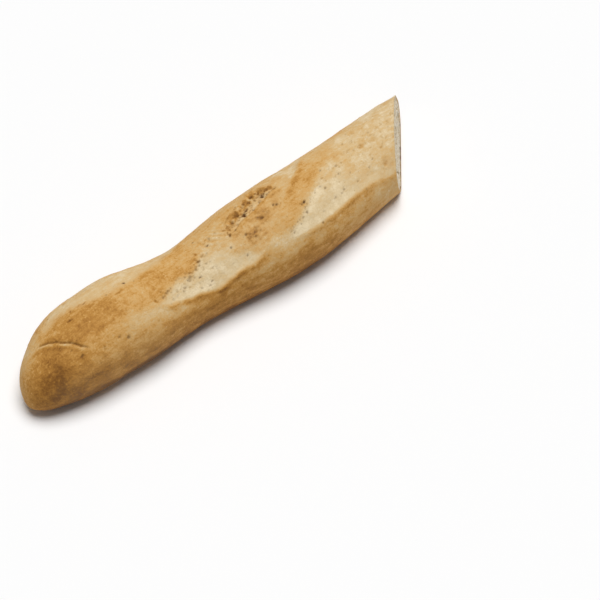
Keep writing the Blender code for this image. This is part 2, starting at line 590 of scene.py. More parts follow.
@dataclass(frozen=True)
class Pitting:
    """Ragged little holes and browned flecks strewn about a line of lengths and girths.

    pitch is the holes' distance, and bare the height that the noise passes only where a hole is.
    """

    line: Points
    reach: float
    pitch: float
    bare: float
    depth: float
    scorch: float
    bake: float
    seed: int
    end_fade: float = 5.0
    wall: float = 0.20

    def apply(self, skin: Skin) -> None:
        """Make the holes near the line.

        Args:
            skin: The crust's grid, changed in place.
        """
        start, end = self.line[0][0], self.line[-1][0]
        ends = skin.between(start, end, self.end_fade, self.end_fade)
        self.press(skin, bell(skin.beyond(self.line), self.reach) * ends)

    def press(self, skin: Skin, weight: np.ndarray) -> None:
        """Make the holes where the weight is high.

        Args:
            skin: The crust's grid, changed in place.
            weight: From 0, where none are made, to 1.
        """
        noise = 0.62 * Grain(self.seed).at(skin.base, self.pitch)
        noise += 0.38 * Grain(self.seed + 1).at(skin.base, 0.6 * self.pitch)
        hole = smooth_step(noise, self.bare, self.bare + self.wall) * weight
        skin.relief -= self.depth * hole
        skin.scorch += self.scorch * hole
        skin.bake += self.bake * hole


@dataclass(frozen=True)
class Fissure:
    """The rough split beside the middle score: a pitted pale floor between torn, browned edges."""

    near: Points
    far: Points
    depth: float = 1.3
    rough_pitch: float = 3.2
    fine_pitch: float = 1.3
    floor_pitch: float = 2.1
    patch_pitch: float = 2.2
    end_fades: Span = (8.0, 4.0)
    floor_tone: float = 0.42
    far_tone: float = 0.77
    tear_tone: float = 0.64
    flour: float = 0.50
    far_lift: float = 0.55
    tear_lift: float = 0.5
    seed: int = 71

    def apply(self, skin: Skin) -> None:
        """Open the split, raise the torn skin beside it, and colour both.

        Args:
            skin: The crust's grid, changed in place.
        """
        rough = Grain(self.seed).at(skin.base, self.rough_pitch)
        fine = Grain(self.seed + 1).at(skin.base, self.fine_pitch)
        past = skin.beyond(self.near) + 0.5 * rough + 0.35 * fine
        left = -skin.beyond(self.far) + 1.1 * rough + 0.7 * fine
        ends = skin.between(self.near[0][0], self.near[-1][0], *self.end_fades)
        room = smooth_step(past, -0.4, 0.9) * smooth_step(left, -0.8, 1.4) * ends
        across = share_across(past, left)
        skin.relief -= self.depth * room * (1.0 - 0.45 * across)
        skin.relief += (0.26 * Grain(self.seed + 2).at(skin.base, self.floor_pitch) + 0.14 * fine) * room
        skin.tone(room, self.floor_tone + 0.10 * fine + 0.08 * rough)
        skin.flour = np.maximum(skin.flour, self.flour * room * (1.0 - 0.8 * across))
        patches = Grain(self.seed + 3).at(skin.base, self.patch_pitch)
        patch = np.clip(0.62 + 1.2 * patches + 0.6 * fine, 0.0, 1.0)
        inside = ends * (past > 0.0)
        torn_far = smooth_step(across, 0.40, 0.75) * room + bell(left + 0.8, 1.6) * inside
        skin.tone(0.95 * torn_far * patch, self.far_tone)
        skin.scorch += 0.4 * torn_far * np.clip(patch - 0.65, 0.0, 1.0)
        skin.relief += self.far_lift * bell(left + 1.2, 1.2) * inside * (0.6 + 0.6 * patch)
        tear = ends * (past < 1.4) * bell(past + 1.4, 1.7)
        skin.relief += self.tear_lift * tear * (0.75 + 0.5 * rough)
        skin.tone(0.95 * tear, self.tear_tone + 0.12 * fine)
        skin.flour *= 1.0 - 0.9 * np.clip(tear + torn_far, 0.0, 1.0)
        Pitting(self.near, 0.0, 1.5, 0.20, 0.55, 0.50, 0.10, self.seed + 5).press(skin, room)


@dataclass(frozen=True)
class Slit:
    """A small closed score: a fine dark crease with one pale lifted lip, as lengths over girths.

    browned holds the distances past the crease at which the skin is browner, with reach and amount.
    """

    line: Points
    depth: float = 0.8
    lip: float = 0.35
    crease_reach: float = 0.48
    lip_offset: float = 1.2
    lip_reach: float = 0.6
    lip_tone: float = 0.24
    crease_scorch: float = 0.75
    rough_pitch: float = 1.8
    broken_pitch: float = 3.0
    browned: Rows = ((2.0, 1.8, 0.10), (-3.6, 1.6, 0.14))
    end_fade: Span = (-0.5, 4.0)
    seed: int = 97

    def apply(self, skin: Skin) -> None:
        """Press the crease and lift the lip on its heel side.

        Args:
            skin: The crust's grid, changed in place.
        """
        ends = smooth_step(skin.girth - self.line[0][0], *self.end_fade)
        ends *= smooth_step(self.line[-1][0] - skin.girth, *self.end_fade)
        steep = np.sqrt(1.0 + slope(self.line, skin.girth) ** 2)
        across = (skin.length - curve(self.line, skin.girth)) / steep
        across = across + 0.25 * Grain(self.seed).at(skin.base, self.rough_pitch)
        crease = bell(across, self.crease_reach) * ends
        broken = np.clip(0.7 + 0.9 * Grain(self.seed + 1).at(skin.base, self.broken_pitch), 0.1, 1.1)
        lip = bell(across + self.lip_offset, self.lip_reach) * ends * broken
        skin.relief += self.lip * lip - self.depth * crease
        skin.scorch += self.crease_scorch * crease
        skin.tone(0.85 * lip, self.lip_tone)
        for place, reach, amount in self.browned:
            skin.bake += amount * bell(across - place, reach) * ends


# ----------------------------------------------------------------------------- the crust


# The three scores from the heel to the cut, as pairs of length and girth or of length and amount.
SCORES = (
    Score(
        near=((24, 9), (33, 10.5), (43, 10), (55, 6.4), (67, 3.6), (81, 3.4), (100, 8.5), (113, 12),
              (138, 26)),
        bare=((24, 12), (33, 19), (45, 23), (62, 26), (81, 22), (100, 22), (138, 28)),
        far=((24, 12), (35, 24), (50, 31), (70, 34), (95, 34), (115, 33), (138, 28)),
        depth=((24, 0.3), (60, 0.6), (110, 0.8), (138, 0.3)),
        lip=((24, 0.0), (60, 0.1), (78, 0.2), (96, 0.2), (120, 0.1), (138, 0.0)),
        lip_browning_and_shade=((24, 0.1), (40, 0.2), (60, 0.2), (84, 0.3), (96, 0.25), (110, 0.2), (138, 0.2)),
        bare_tone=((24, 0.40), (60, 0.36), (90, 0.34), (138, 0.36)),
        floor_tone=((24, 0.46), (60, 0.42), (138, 0.42)),
        flour=0.35, near_soft=4.5, far_soft=6.0, seed=11,
    ),
    Score(
        near=((84, -17), (93, -19.6), (103, -20.4), (112, -21.2), (124, -23.7), (133, -23.1), (141, -23.2),
              (150, -24.2), (158, -22), (166, -17), (173, -12), (180, -7), (189, -1), (196, 3.6), (203, 7.6),
              (210, 12.2), (216, 18), (224, 24)),
        bare=((84, -14), (95, -12), (108, -9), (118, -7), (127, -4), (134, -6), (141, -11), (148, -15),
              (156, -20), (170, -24), (224, 0)),
        far=((84, -15.5), (92, -13.5), (97, -11.5), (110, -7), (118, -6), (123, -3), (128, 1), (135, 6),
             (150, 7), (156, 9), (163, 12.5), (171, 16), (180, 19), (196, 24), (224, 29)),
        depth=((84, 0.3), (100, 0.8), (125, 1.1), (150, 1.1), (170, 0.6), (195, 0.5), (224, 0.6)),
        lip=((88, 0.1), (93, 0.6), (103, 0.3), (113, 0.6), (121, 0.3), (124, 0.75), (148, 0.6), (158, 0.3),
             (170, 0.0), (190, 0.1), (200, 0.3), (215, 0.4), (224, 0.2)),
        lip_browning_and_shade=((90, 0.0), (93, 1.2), (99, 0.5), (102, 1.0), (106, 0.5), (109.5, 1.7), (113, 0.9),
                  (117, 0.6), (121, 0.5), (124, 1.15), (129, 1.15), (135, 1.1), (142, 1.0), (150, 0.9),
                  (156, 0.5), (170, 0.0), (188, 0.3), (196, 0.8), (212, 0.9), (224, 0.5)),
        bare_tone=((84, 0.26), (100, 0.20), (125, 0.20), (155, 0.24), (224, 0.25)),
        floor_tone=((84, 0.40), (120, 0.36), (130, 0.44), (150, 0.48), (190, 0.47), (199, 0.38),
                    (206, 0.30), (224, 0.30)),
        flour=0.55, near_soft=1.2, far_soft=3.6, seed=21,
    ),
    Score(
        near=((172, -24.5), (182, -26.5), (197, -27), (209, -26.4), (220, -25.6), (231, -25.2), (245, -26.2),
              (257, -28.6), (280, -29), (330, -28)),
        bare=((172, -22), (181, -19), (190, -15), (201, -10), (214, -8), (228, -9), (240, -14), (256, -18),
              (280, -14), (330, -12)),
        far=((172, -24), (180, -19.5), (188, -15.5), (196, -11), (203, -7), (211, -2), (219, 2), (226, 6),
             (233, 10), (241, 14), (250, 19), (262, 26), (285, 31), (330, 33)),
        depth=((172, 0.2), (190, 0.8), (230, 0.8), (280, 0.6), (330, 0.5)),
        lip=((172, 0.0), (184, 0.3), (215, 0.65), (240, 0.5), (262, 0.3), (330, 0.1)),
        lip_browning_and_shade=((172, 0.1), (182, 0.3), (192, 0.6), (210, 0.9), (226, 0.7), (240, 0.35), (256, 0.1),
                  (330, 0.1)),
        bare_tone=((172, 0.12), (185, 0.05), (205, 0.16), (222, 0.22), (236, 0.30), (262, 0.30), (330, 0.30)),
        floor_tone=((172, 0.35), (205, 0.32), (235, 0.30), (262, 0.28), (330, 0.28)),
        flour=0.55, near_soft=1.4, far_soft=4.5, seed=31,
    ),
)

# Holes along the scores and beside the split, and over the top towards the cut and the heel.
PITTINGS = (
    Pitting(((90, -14), (102, -11), (112, -8.5), (120, -6.5), (126, -1), (134, 4), (140, 6)),
            3.0, 1.5, 0.20, 0.30, 0.30, 0.14, 121),
    Pitting(((96, -15.5), (108, -14), (120, -13), (134, -10)), 4.5, 1.7, 0.36, 0.25, 0.30, 0.10, 123),
    Pitting(((173, -22.5), (188, -17.5), (201, -10.5), (214, -4.5)), 1.4, 1.6, 0.26, 0.25, 0.35, 0.10, 125),
    Pitting(((212, -3), (230, -3), (250, -4), (290, 0)), 8.0, 1.9, 0.38, 0.2, 0.28, 0.14, 127),
    Pitting(((140, 1), (146, 0.5), (151, 2), (158, 6.5)), 3.0, 1.8, 0.28, 0.3, 0.35, 0.2, 129),
    Pitting(((10, 14), (40, 18), (70, 22), (130, 22)), 9.0, 2.0, 0.42, 0.15, 0.2, 0.14, 131),
)

SPLIT = Fissure(
    near=((148, -1.5), (155, 0.3), (160, 1.9), (165, 2.7), (170, 3.5), (175, 5.0), (180, 6.6), (184, 7.9),
          (192, 9.5)),
    far=((148, 3), (155, 7), (161, 9.3), (165, 11), (169, 13), (174, 15), (178, 17), (181, 17),
         (184, 14.8), (187, 13), (192, 10.5)),
)
HEEL_SLIT = Slit((
    (-17, 40.5), (-13.9, 37.8), (-10, 35.5), (-6.6, 33.4), (-3, 30.3), (0.5, 27.9), (3.2, 25.5),
    (5.6, 23.1), (9, 19.5),
))

# Marks that can be told apart, as rows of Mark's fields: holes of the split, pits of the scores,
# burnt specks, and at the end broad blisters and browner blotches.
SPLIT_MARKS: Rows = (
    (181, 10.7, 1.5, -1.9, 1.3), (180.5, 14.3, 1.1, -0.9, 0.6, 0.3), (175.7, 14.7, 1.5, -0.7, 0.4, 0.3),
    (176.2, 7.1, 0.9, -0.9, 0.7), (163.2, 5.3, 1.0, -1.3, 1.1), (166.2, 7.6, 0.9, -0.8, 0.6),
    (160, 7.8, 1.5, -0.8, 0.5, 0.2), (168.4, 12.3, 0.8, -0.7, 0.7), (166.4, 11, 0.8, -0.7, 0.7),
    (164, 14, 0.5, -0.4, 0.7), (188.6, 9.2, 0.55, -0.9, 0.8, 0.2, 3.5), (184, 9.2, 0.9, -0.8, 0.6),
    (155, 5.4, 0.8, -0.7, 0.7), (150, 2, 1.2, -0.5, 0.35, 0.35), (150, 4.2, 0.9, -0.3, 0.2, 0.3),
    (152.3, -0.8, 0.7, -0.6, 0.9), (147.4, -1.4, 0.8, -0.7, 1.0), (147, 3.5, 0.6, -0.3, 0.2, 0.3, 2),
    (143, 5.9, 0.6, -0.3, 0.4), (179.5, -1.3, 0.7, -0.8, 1.0), (181, -2.4, 0.7, -0.8, 1.0),
)
MIDDLE_MARKS: Rows = (
    (155, -7.2, 0.9, -0.8, 1.0), (158, -11.5, 0.8, -0.5, 0.7), (169, -4, 0.9, -0.4, 0.2, 0.1),
    (143, -8.4, 0.6, -0.6, 1.1), (134, 1.8, 0.5, -0.6, 1.0, 0.0, 1.8), (130.6, 10.6, 0.5, -0.5, 1.0),
    (138, 6, 0.7, -0.3, 0.35), (125, 0.8, 0.7, -0.5, 0.3, 0.3), (127.8, -1.8, 0.6, -0.5, 0.43),
    (126.3, -2.4, 0.6, -0.5, 0.43), (123, -4.2, 0.8, -0.6, 0.43), (122, -6, 0.8, -0.6, 0.43),
    (118.7, -7.8, 0.9, -0.7, 0.58), (112.5, -6.7, 0.6, -0.5, 0.43), (114, -7.3, 0.6, -0.5, 0.43),
    (110.3, -8.2, 0.6, -0.5, 0.43), (113, -9.7, 0.9, -0.7, 0.5), (115.2, -11, 0.6, -0.5, 0.43),
    (118, -12.7, 0.7, -0.6, 0.58), (111.3, -11.2, 1.0, -0.8, 0.65), (106.6, -13.9, 0.8, -0.7, 0.58),
    (99, -10.8, 0.6, -0.4, 0.43), (95.6, -12.5, 0.8, -0.7, 0.58, 0.0, 1.5), (92, -14, 0.7, -0.7, 0.65),
    (105, -7.7, 0.6, -0.4, 0.36), (99.5, -16.7, 0.6, -0.5, 0.43), (96.4, -17.4, 0.7, -0.4, 0.43),
    (115, -18.8, 0.6, -0.5, 0.43), (120, -20.2, 0.6, -0.5, 0.43), (122.3, -18.4, 0.6, -0.5, 0.5),
    (101, -14.4, 0.6, -0.4, 0.36), (105, -15.6, 0.6, -0.3, 0.4), (147.7, -17.8, 0.5, -0.4, 0.7),
    (86.5, -14.2, 0.9, -0.3, 0.1, 0.3), (126, -7.6, 0.5, -0.3, 0.4), (128.7, -8.2, 0.5, -0.3, 0.4),
)
END_MARKS: Rows = (
    (195.3, -11, 0.9, -1.1, 1.4), (193, -11.4, 0.9, -0.6, 0.7), (219.6, 1.2, 0.6, -0.6, 0.75),
    (212.6, -10.5, 0.7, -0.6, 0.75), (226.6, -8, 0.6, -0.5, 0.6), (246, 9, 0.6, -0.5, 0.6),
    (229, -2.5, 0.6, -0.5, 0.52), (222, -18.2, 0.7, -0.6, 0.68), (219.6, -19.2, 0.6, -0.5, 0.52),
    (214.5, -19.4, 0.5, -0.6, 0.6, 0.0, 1.8), (233.5, -19, 0.5, -0.5, 0.52, 0.0, 1.8),
    (246.4, -16.3, 0.5, -0.5, 0.52), (252, -13.3, 0.6, -0.5, 0.6), (264, 4.2, 0.6, -0.4, 0.52),
    (235, -26.2, 0.7, -0.4, 0.45), (262, -2.4, 1.2, -0.3, 0.1, 0.3, 2.4),
    (254, -1.6, 1.2, -0.3, 0.1, 0.3, 2.4), (233, -12, 0.5, -0.3, 0.5), (184.7, -21.2, 0.5, -0.4, 0.6),
    (192.4, -17, 0.7, -0.5, 0.8), (210.7, -8.2, 0.6, -0.4, 0.5), (262.4, -10, 0.6, -0.3, 0.3, 0.2, 3.0),
    (257.3, -20, 1.4, -0.3, 0.1, 0.25), (197, -27, 0.7, -0.4, 0.7), (178, -22.8, 0.5, -0.4, 0.6),
    (188, -18.4, 0.5, -0.4, 0.6),
)
HEEL_MARKS: Rows = (
    (80, 6, 0.6, -0.6, 1.2), (72.8, 1.2, 0.6, -0.3, 0.2, 0.35, 2.2), (67, 4.4, 0.6, -0.3, 0.4),
    (55, 8.6, 0.6, -0.4, 0.4, 0.2, 1.8), (46.3, 8.7, 1.0, -0.3, 0.2, 0.3), (61.5, -24.6, 0.9, -0.5, 0.8),
    (57, -21.2, 0.7, -0.4, 0.6), (34.2, -17, 0.7, -0.4, 0.9), (31.3, -10.4, 0.6, -0.3, 0.5),
    (42.3, 3.9, 0.7, -0.4, 0.1, 0.35, 2.2), (46.7, -21.8, 1.0, -0.3, 0.25), (108, 24, 0.7, -0.5, 0.8),
)
BLISTERS: Rows = (
    (158, -9.8, 4.4, 0.35, 0.0, 0.22, 1.1), (169, -3.6, 4.2, 0.3, 0.0, 0.12, 1.2),
)
BLOTCHES: Rows = (
    (56, -4, 9.0, 0.0, 0.0, 0.12, 1.4), (257.5, -1, 2.6, -0.1, 0.0, 0.16, 1.8),
    (258, -22, 4.5, -0.2, 0.0, 0.17, 1.3), (247, -18, 5.0, 0.0, 0.0, 0.06, 1.5),
    (268, 12, 5.0, 0.0, 0.0, 0.06, 2.0), (236, 8, 5.0, 0.0, 0.0, 0.08, 1.6),
    (46.7, 11.6, 1.5, 0.1, 0.0, 0.18, 2.6), (54.4, 8.8, 1.4, 0.1, 0.0, 0.16, 2.6),
    (10.7, -9.8, 3.6, 0.0, 0.0, 0.12, 1.2), (15.4, -20.4, 3.6, 0.0, 0.0, 0.13, 1.2),
)
MARKS = (
    MarkField([Mark(*row) for row in (*SPLIT_MARKS, *MIDDLE_MARKS, *END_MARKS, *HEEL_MARKS)], 81),
    MarkField([Mark(*row) for row in BLISTERS], 90),
    MarkField([Mark(*row) for row in BLOTCHES], 92),
)

# Fine pits, small bumps, and pale and brown flecks, in the order in which they are drawn.
SCATTERS = (
    Scatter(((90, -13.5), (110, -10), (120, -7.5), (128, -1), (138, 5)), (90, 138), 36, 2.4,
            (0.3, 0.5), (-0.4, -0.1), (0.1, 0.35), (0.0, 0.0), 83),
    Scatter(((94, -17), (150, -14)), (94, 150), 30, 3.0,
            (0.25, 0.45), (-0.3, -0.1), (0.05, 0.25), (0.0, 0.0), 85),
    Scatter(((175, -22.5), (188, -17.5), (201, -10.5), (215, -5)), (175, 214), 26, 1.0,
            (0.3, 0.5), (-0.4, -0.15), (0.15, 0.5), (0.0, 0.0), 87),
    Scatter(((148, 2), (156, 4.5), (165, 8.5), (172, 10.5), (181, 12), (190, 10.5)), (149, 188), 46, 1.9,
            (0.4, 0.7), (-0.8, -0.2), (0.1, 0.5), (0.0, 0.2), 89),
    Scatter(((154, -9.8), (163, -9.8)), (154, 163), 34, 2.1,
            (0.4, 0.8), (-0.5, 0.3), (0.0, 0.3), (-0.1, 0.2), 91),
    Scatter(((164, -3.8), (175, -3.2)), (164, 175), 30, 2.2,
            (0.4, 0.9), (-0.35, 0.3), (0.0, 0.15), (-0.1, 0.2), 93),
    Scatter(((200, -8), (280, -2)), (200, 280), 40, 8.0,
            (0.25, 0.45), (-0.3, -0.1), (0.05, 0.3), (0.0, 0.0), 94),
    Scatter(((8, 2), (24, -14)), (8, 24), 26, 6.0, (0.3, 0.6), (0.05, 0.2), (0.0, 0.0), (-0.24, -0.08), 95),
    Scatter(((10, 0), (300, 0)), (10, 300), 260, 24.0,
            (0.25, 0.45), (-0.3, -0.1), (0.05, 0.35), (0.0, 0.0), 96),
    Scatter(((10, 0), (300, 0)), (10, 300), 420, 26.0,
            (0.4, 0.9), (0.0, 0.2), (0.0, 0.0), (-0.16, 0.12), 98),
    Scatter(((222, -6), (300, 8)), (222, 300), 90, 11.0,
            (0.25, 0.4), (-0.4, -0.15), (0.1, 0.4), (0.05, 0.2), 99),
)


@dataclass(frozen=True)
class Baking:
    """How far each part of the skin is baked, how floury it is, and where shade and a highlight are painted.

    Amounts are added to the tone, and pale ones are taken from it. A share is part of the way from
    the crest, at 0, down to the middle of the base, at 1. streaks and mottles are pitches and
    amounts of noise. Four lengths are a start, an end and the fades within them, and other pairs
    are lengths or girths over which a part comes in or fades.
    """

    top: float = 0.55
    heel: float = 0.08
    heel_fade: Span = (36.0, 105.0)
    nose: Span = (1.0, 24.0)
    end_fade: Span = (188.0, 268.0)
    end_ragged: float = 16.0
    ragged_pitch: float = 24.0
    wall: float = 0.19
    wall_share: Span = (0.34, 0.46)
    pale_near_end: float = 0.36
    pale_far_end: float = 0.24
    # Painted highlight: the next fields lay a paler band along the near shoulder, standing in for light on
    # it.
    painted_shoulder_highlight: float = 0.27
    shoulder_share: float = 0.21
    shoulder_drop: float = 0.08
    shoulder_drops: Span = (155.0, 178.0)
    shoulder_width: float = 0.05
    shoulder_lengths: tuple[float, ...] = (112.0, 205.0, 28.0, 30.0)
    # Darker lower walls: partly browning and partly painted contact shade.
    low_wall_browning_and_shade: float = 0.12
    low_share: Span = (0.50, 0.64)
    low_from: Span = (30.0, 70.0)
    pale_end: float = 0.06
    pale_end_from: Span = (222.0, 252.0)
    pale_crest: float = 0.08
    crest_place: Span = (150.0, 34.0)
    crest_girth: Span = (-2.0, 8.0)
    base_edge: float = 0.14
    base_edge_share: Span = (0.65, 0.045)
    base_tone: float = 0.94
    base_share: Span = (0.69, 0.75)
    pale_far_top: float = 0.13
    far_top_girths: tuple[Span, Span] = ((6.0, 18.0), (28.0, 44.0))
    far_top_lengths: tuple[float, ...] = (182.0, 266.0, 34.0, 34.0)
    heel_patch: float = 0.31
    patch_places: tuple[Span, Span] = ((16.0, 15.0), (-15.5, 13.0))
    # Darker near underside of the heel's nose: partly browning and partly painted shade.
    under: float = 0.55
    under_girth: Span = (10.0, 20.0)
    under_fade: Span = (24.0, 50.0)
    # Flour on the heel's walls, which also greys their tones as a painted shade tint.
    side_flour_and_shade_tint: float = 0.10
    flour_share: Span = (0.22, 0.42)
    flour_fade: Span = (60.0, 120.0)
    pale_far_heel: float = 0.22
    far_heel_girth: Span = (-2.0, 14.0)
    far_heel_lengths: tuple[float, ...] = (-4.0, 44.0, 14.0, 26.0)
    dust_line: Points = ((40, -15), (66, -19), (84, -20), (110, -26))
    dust: Points = ((36, 0.0), (50, 0.08), (66, 0.14), (84, 0.30), (94, 0.16), (112, 0.0))
    dust_reach: float = 4.5
    band: float = 0.26
    band_line: Points = ((28, -38), (35, -43), (46, -48.5), (63, -50.5), (90, -49), (112, -48))
    band_reach: float = 2.4
    band_fades: Span = (8.0, 24.0)
    cloud_pitch: float = 7.0
    streaked_girth: Span = (24.0, 32.0)
    streaks: Span = (2.6, 0.16)
    mottles: tuple[Span, Span] = ((26.0, 0.11), (8.0, 0.13))

    def apply(self, skin: Skin) -> None:
        """Lay all the tones: orange gold on top, browner on the heel and at the base's edge, with painted
        shade low on the walls and the heel, and a painted highlight on the near shoulder.

        Args:
            skin: The crust's grid, changed in place.
        """
        lower = skin.lower_share()
        nose = smooth_step(skin.length, *self.nose)
        ragged = skin.length + self.end_ragged * Grain(46).layered(skin.base, self.ragged_pitch, 3)
        end = smooth_step(ragged, *self.end_fade)
        self.sides(skin, lower, nose, end)
        self.top_and_heel(skin, lower, nose)
        walls = smooth_step(np.abs(skin.girth), *self.streaked_girth) * (1.0 - end)
        pitch, amount = self.streaks
        skin.bake += amount * walls * Grain(45).layered(skin.base * (0.3, 1.0, 1.0), pitch, 2)
        (wide_pitch, wide_amount), (pitch, amount) = self.mottles
        skin.bake += wide_amount * Grain(41).layered(skin.base, wide_pitch, 2)
        skin.bake += amount * Grain(47).layered(skin.base, pitch, 3)

    def sides(self, skin: Skin, lower: np.ndarray, nose: np.ndarray, end: np.ndarray) -> None:
        """Tones of the walls, from the shoulder down to the base.

        Args:
            skin: The crust's grid, changed in place.
            lower: Share of the way down.
            nose: Weight that comes in behind the tip of the heel.
            end: Weight of the paler part towards the cut.
        """
        skin.bake += self.top + self.heel * (1.0 - smooth_step(skin.length, *self.heel_fade))
        wall = nose * smooth_step(lower, *self.wall_share)
        pale = np.where(skin.girth > 0.0, self.pale_far_end, self.pale_near_end)
        skin.bake += wall * (self.wall - pale * end)
        # Painted highlight: a paler band along the near shoulder, standing in for the light that falls on it.
        drop = self.shoulder_drop * smooth_step(skin.length, *self.shoulder_drops)
        shoulder = bell(lower - self.shoulder_share - drop, self.shoulder_width) * (skin.girth < 0.0)
        skin.bake -= self.painted_shoulder_highlight * shoulder * skin.between(*self.shoulder_lengths)
        # The lower walls are darker: partly browning and partly painted contact shade.
        low = smooth_step(lower, *self.low_share) * smooth_step(skin.length, *self.low_from)
        skin.bake += self.low_wall_browning_and_shade * low
        skin.bake -= self.pale_end * smooth_step(skin.length, *self.pale_end_from) * (1.0 - wall)
        place, reach = self.crest_place
        crest = bell(skin.length - place, reach) * smooth_step(skin.girth, *self.crest_girth)
        skin.bake -= self.pale_crest * crest
        place, reach = self.base_edge_share
        skin.bake += self.base_edge * nose * bell(lower - place, reach) * (1.0 - 0.4 * end)
        skin.tone(nose * smooth_step(lower, *self.base_share), self.base_tone)

    def top_and_heel(self, skin: Skin, lower: np.ndarray, nose: np.ndarray) -> None:
        """Tones of the top near the cut and of the heel, with painted shade under the heel, and the flour
        left on the heel's side, which also greys its walls as a painted shade tint.

        Args:
            skin: The crust's grid, changed in place.
            lower: Share of the way down.
            nose: Weight that comes in behind the tip of the heel.
        """
        rise, fall = self.far_top_girths
        far_top = smooth_step(skin.girth, *rise) * (1.0 - smooth_step(skin.girth, *fall))
        skin.bake -= self.pale_far_top * far_top * skin.between(*self.far_top_lengths)
        patch = skin.about(*self.patch_places)
        # The heel's near underside is darker: partly browning and partly painted shade.
        under = smooth_step(-skin.girth, *self.under_girth)
        under *= 1.0 - smooth_step(skin.length, *self.under_fade)
        clouds = 1.0 + 0.5 * Grain(43).layered(skin.base, self.cloud_pitch, 3)
        skin.bake += self.heel_patch * np.maximum(patch, self.under * under) * clouds
        # Flour on the heel's walls: it also stands in for painted shade, greying the darker tones there.
        side = smooth_step(lower, *self.flour_share) * (1.0 - smooth_step(skin.length, *self.flour_fade))
        skin.flour += self.side_flour_and_shade_tint * nose * side
        far_heel = smooth_step(skin.girth, *self.far_heel_girth) * skin.between(*self.far_heel_lengths)
        skin.bake -= self.pale_far_heel * far_heel
        dusted = bell(skin.girth - curve(self.dust_line, skin.length), self.dust_reach)
        skin.bake -= dusted * curve(self.dust, skin.length)
        ends = skin.between(self.band_line[0][0], self.band_line[-1][0], *self.band_fades)
        skin.bake += self.band * bell(skin.beyond(self.band_line), self.band_reach) * ends


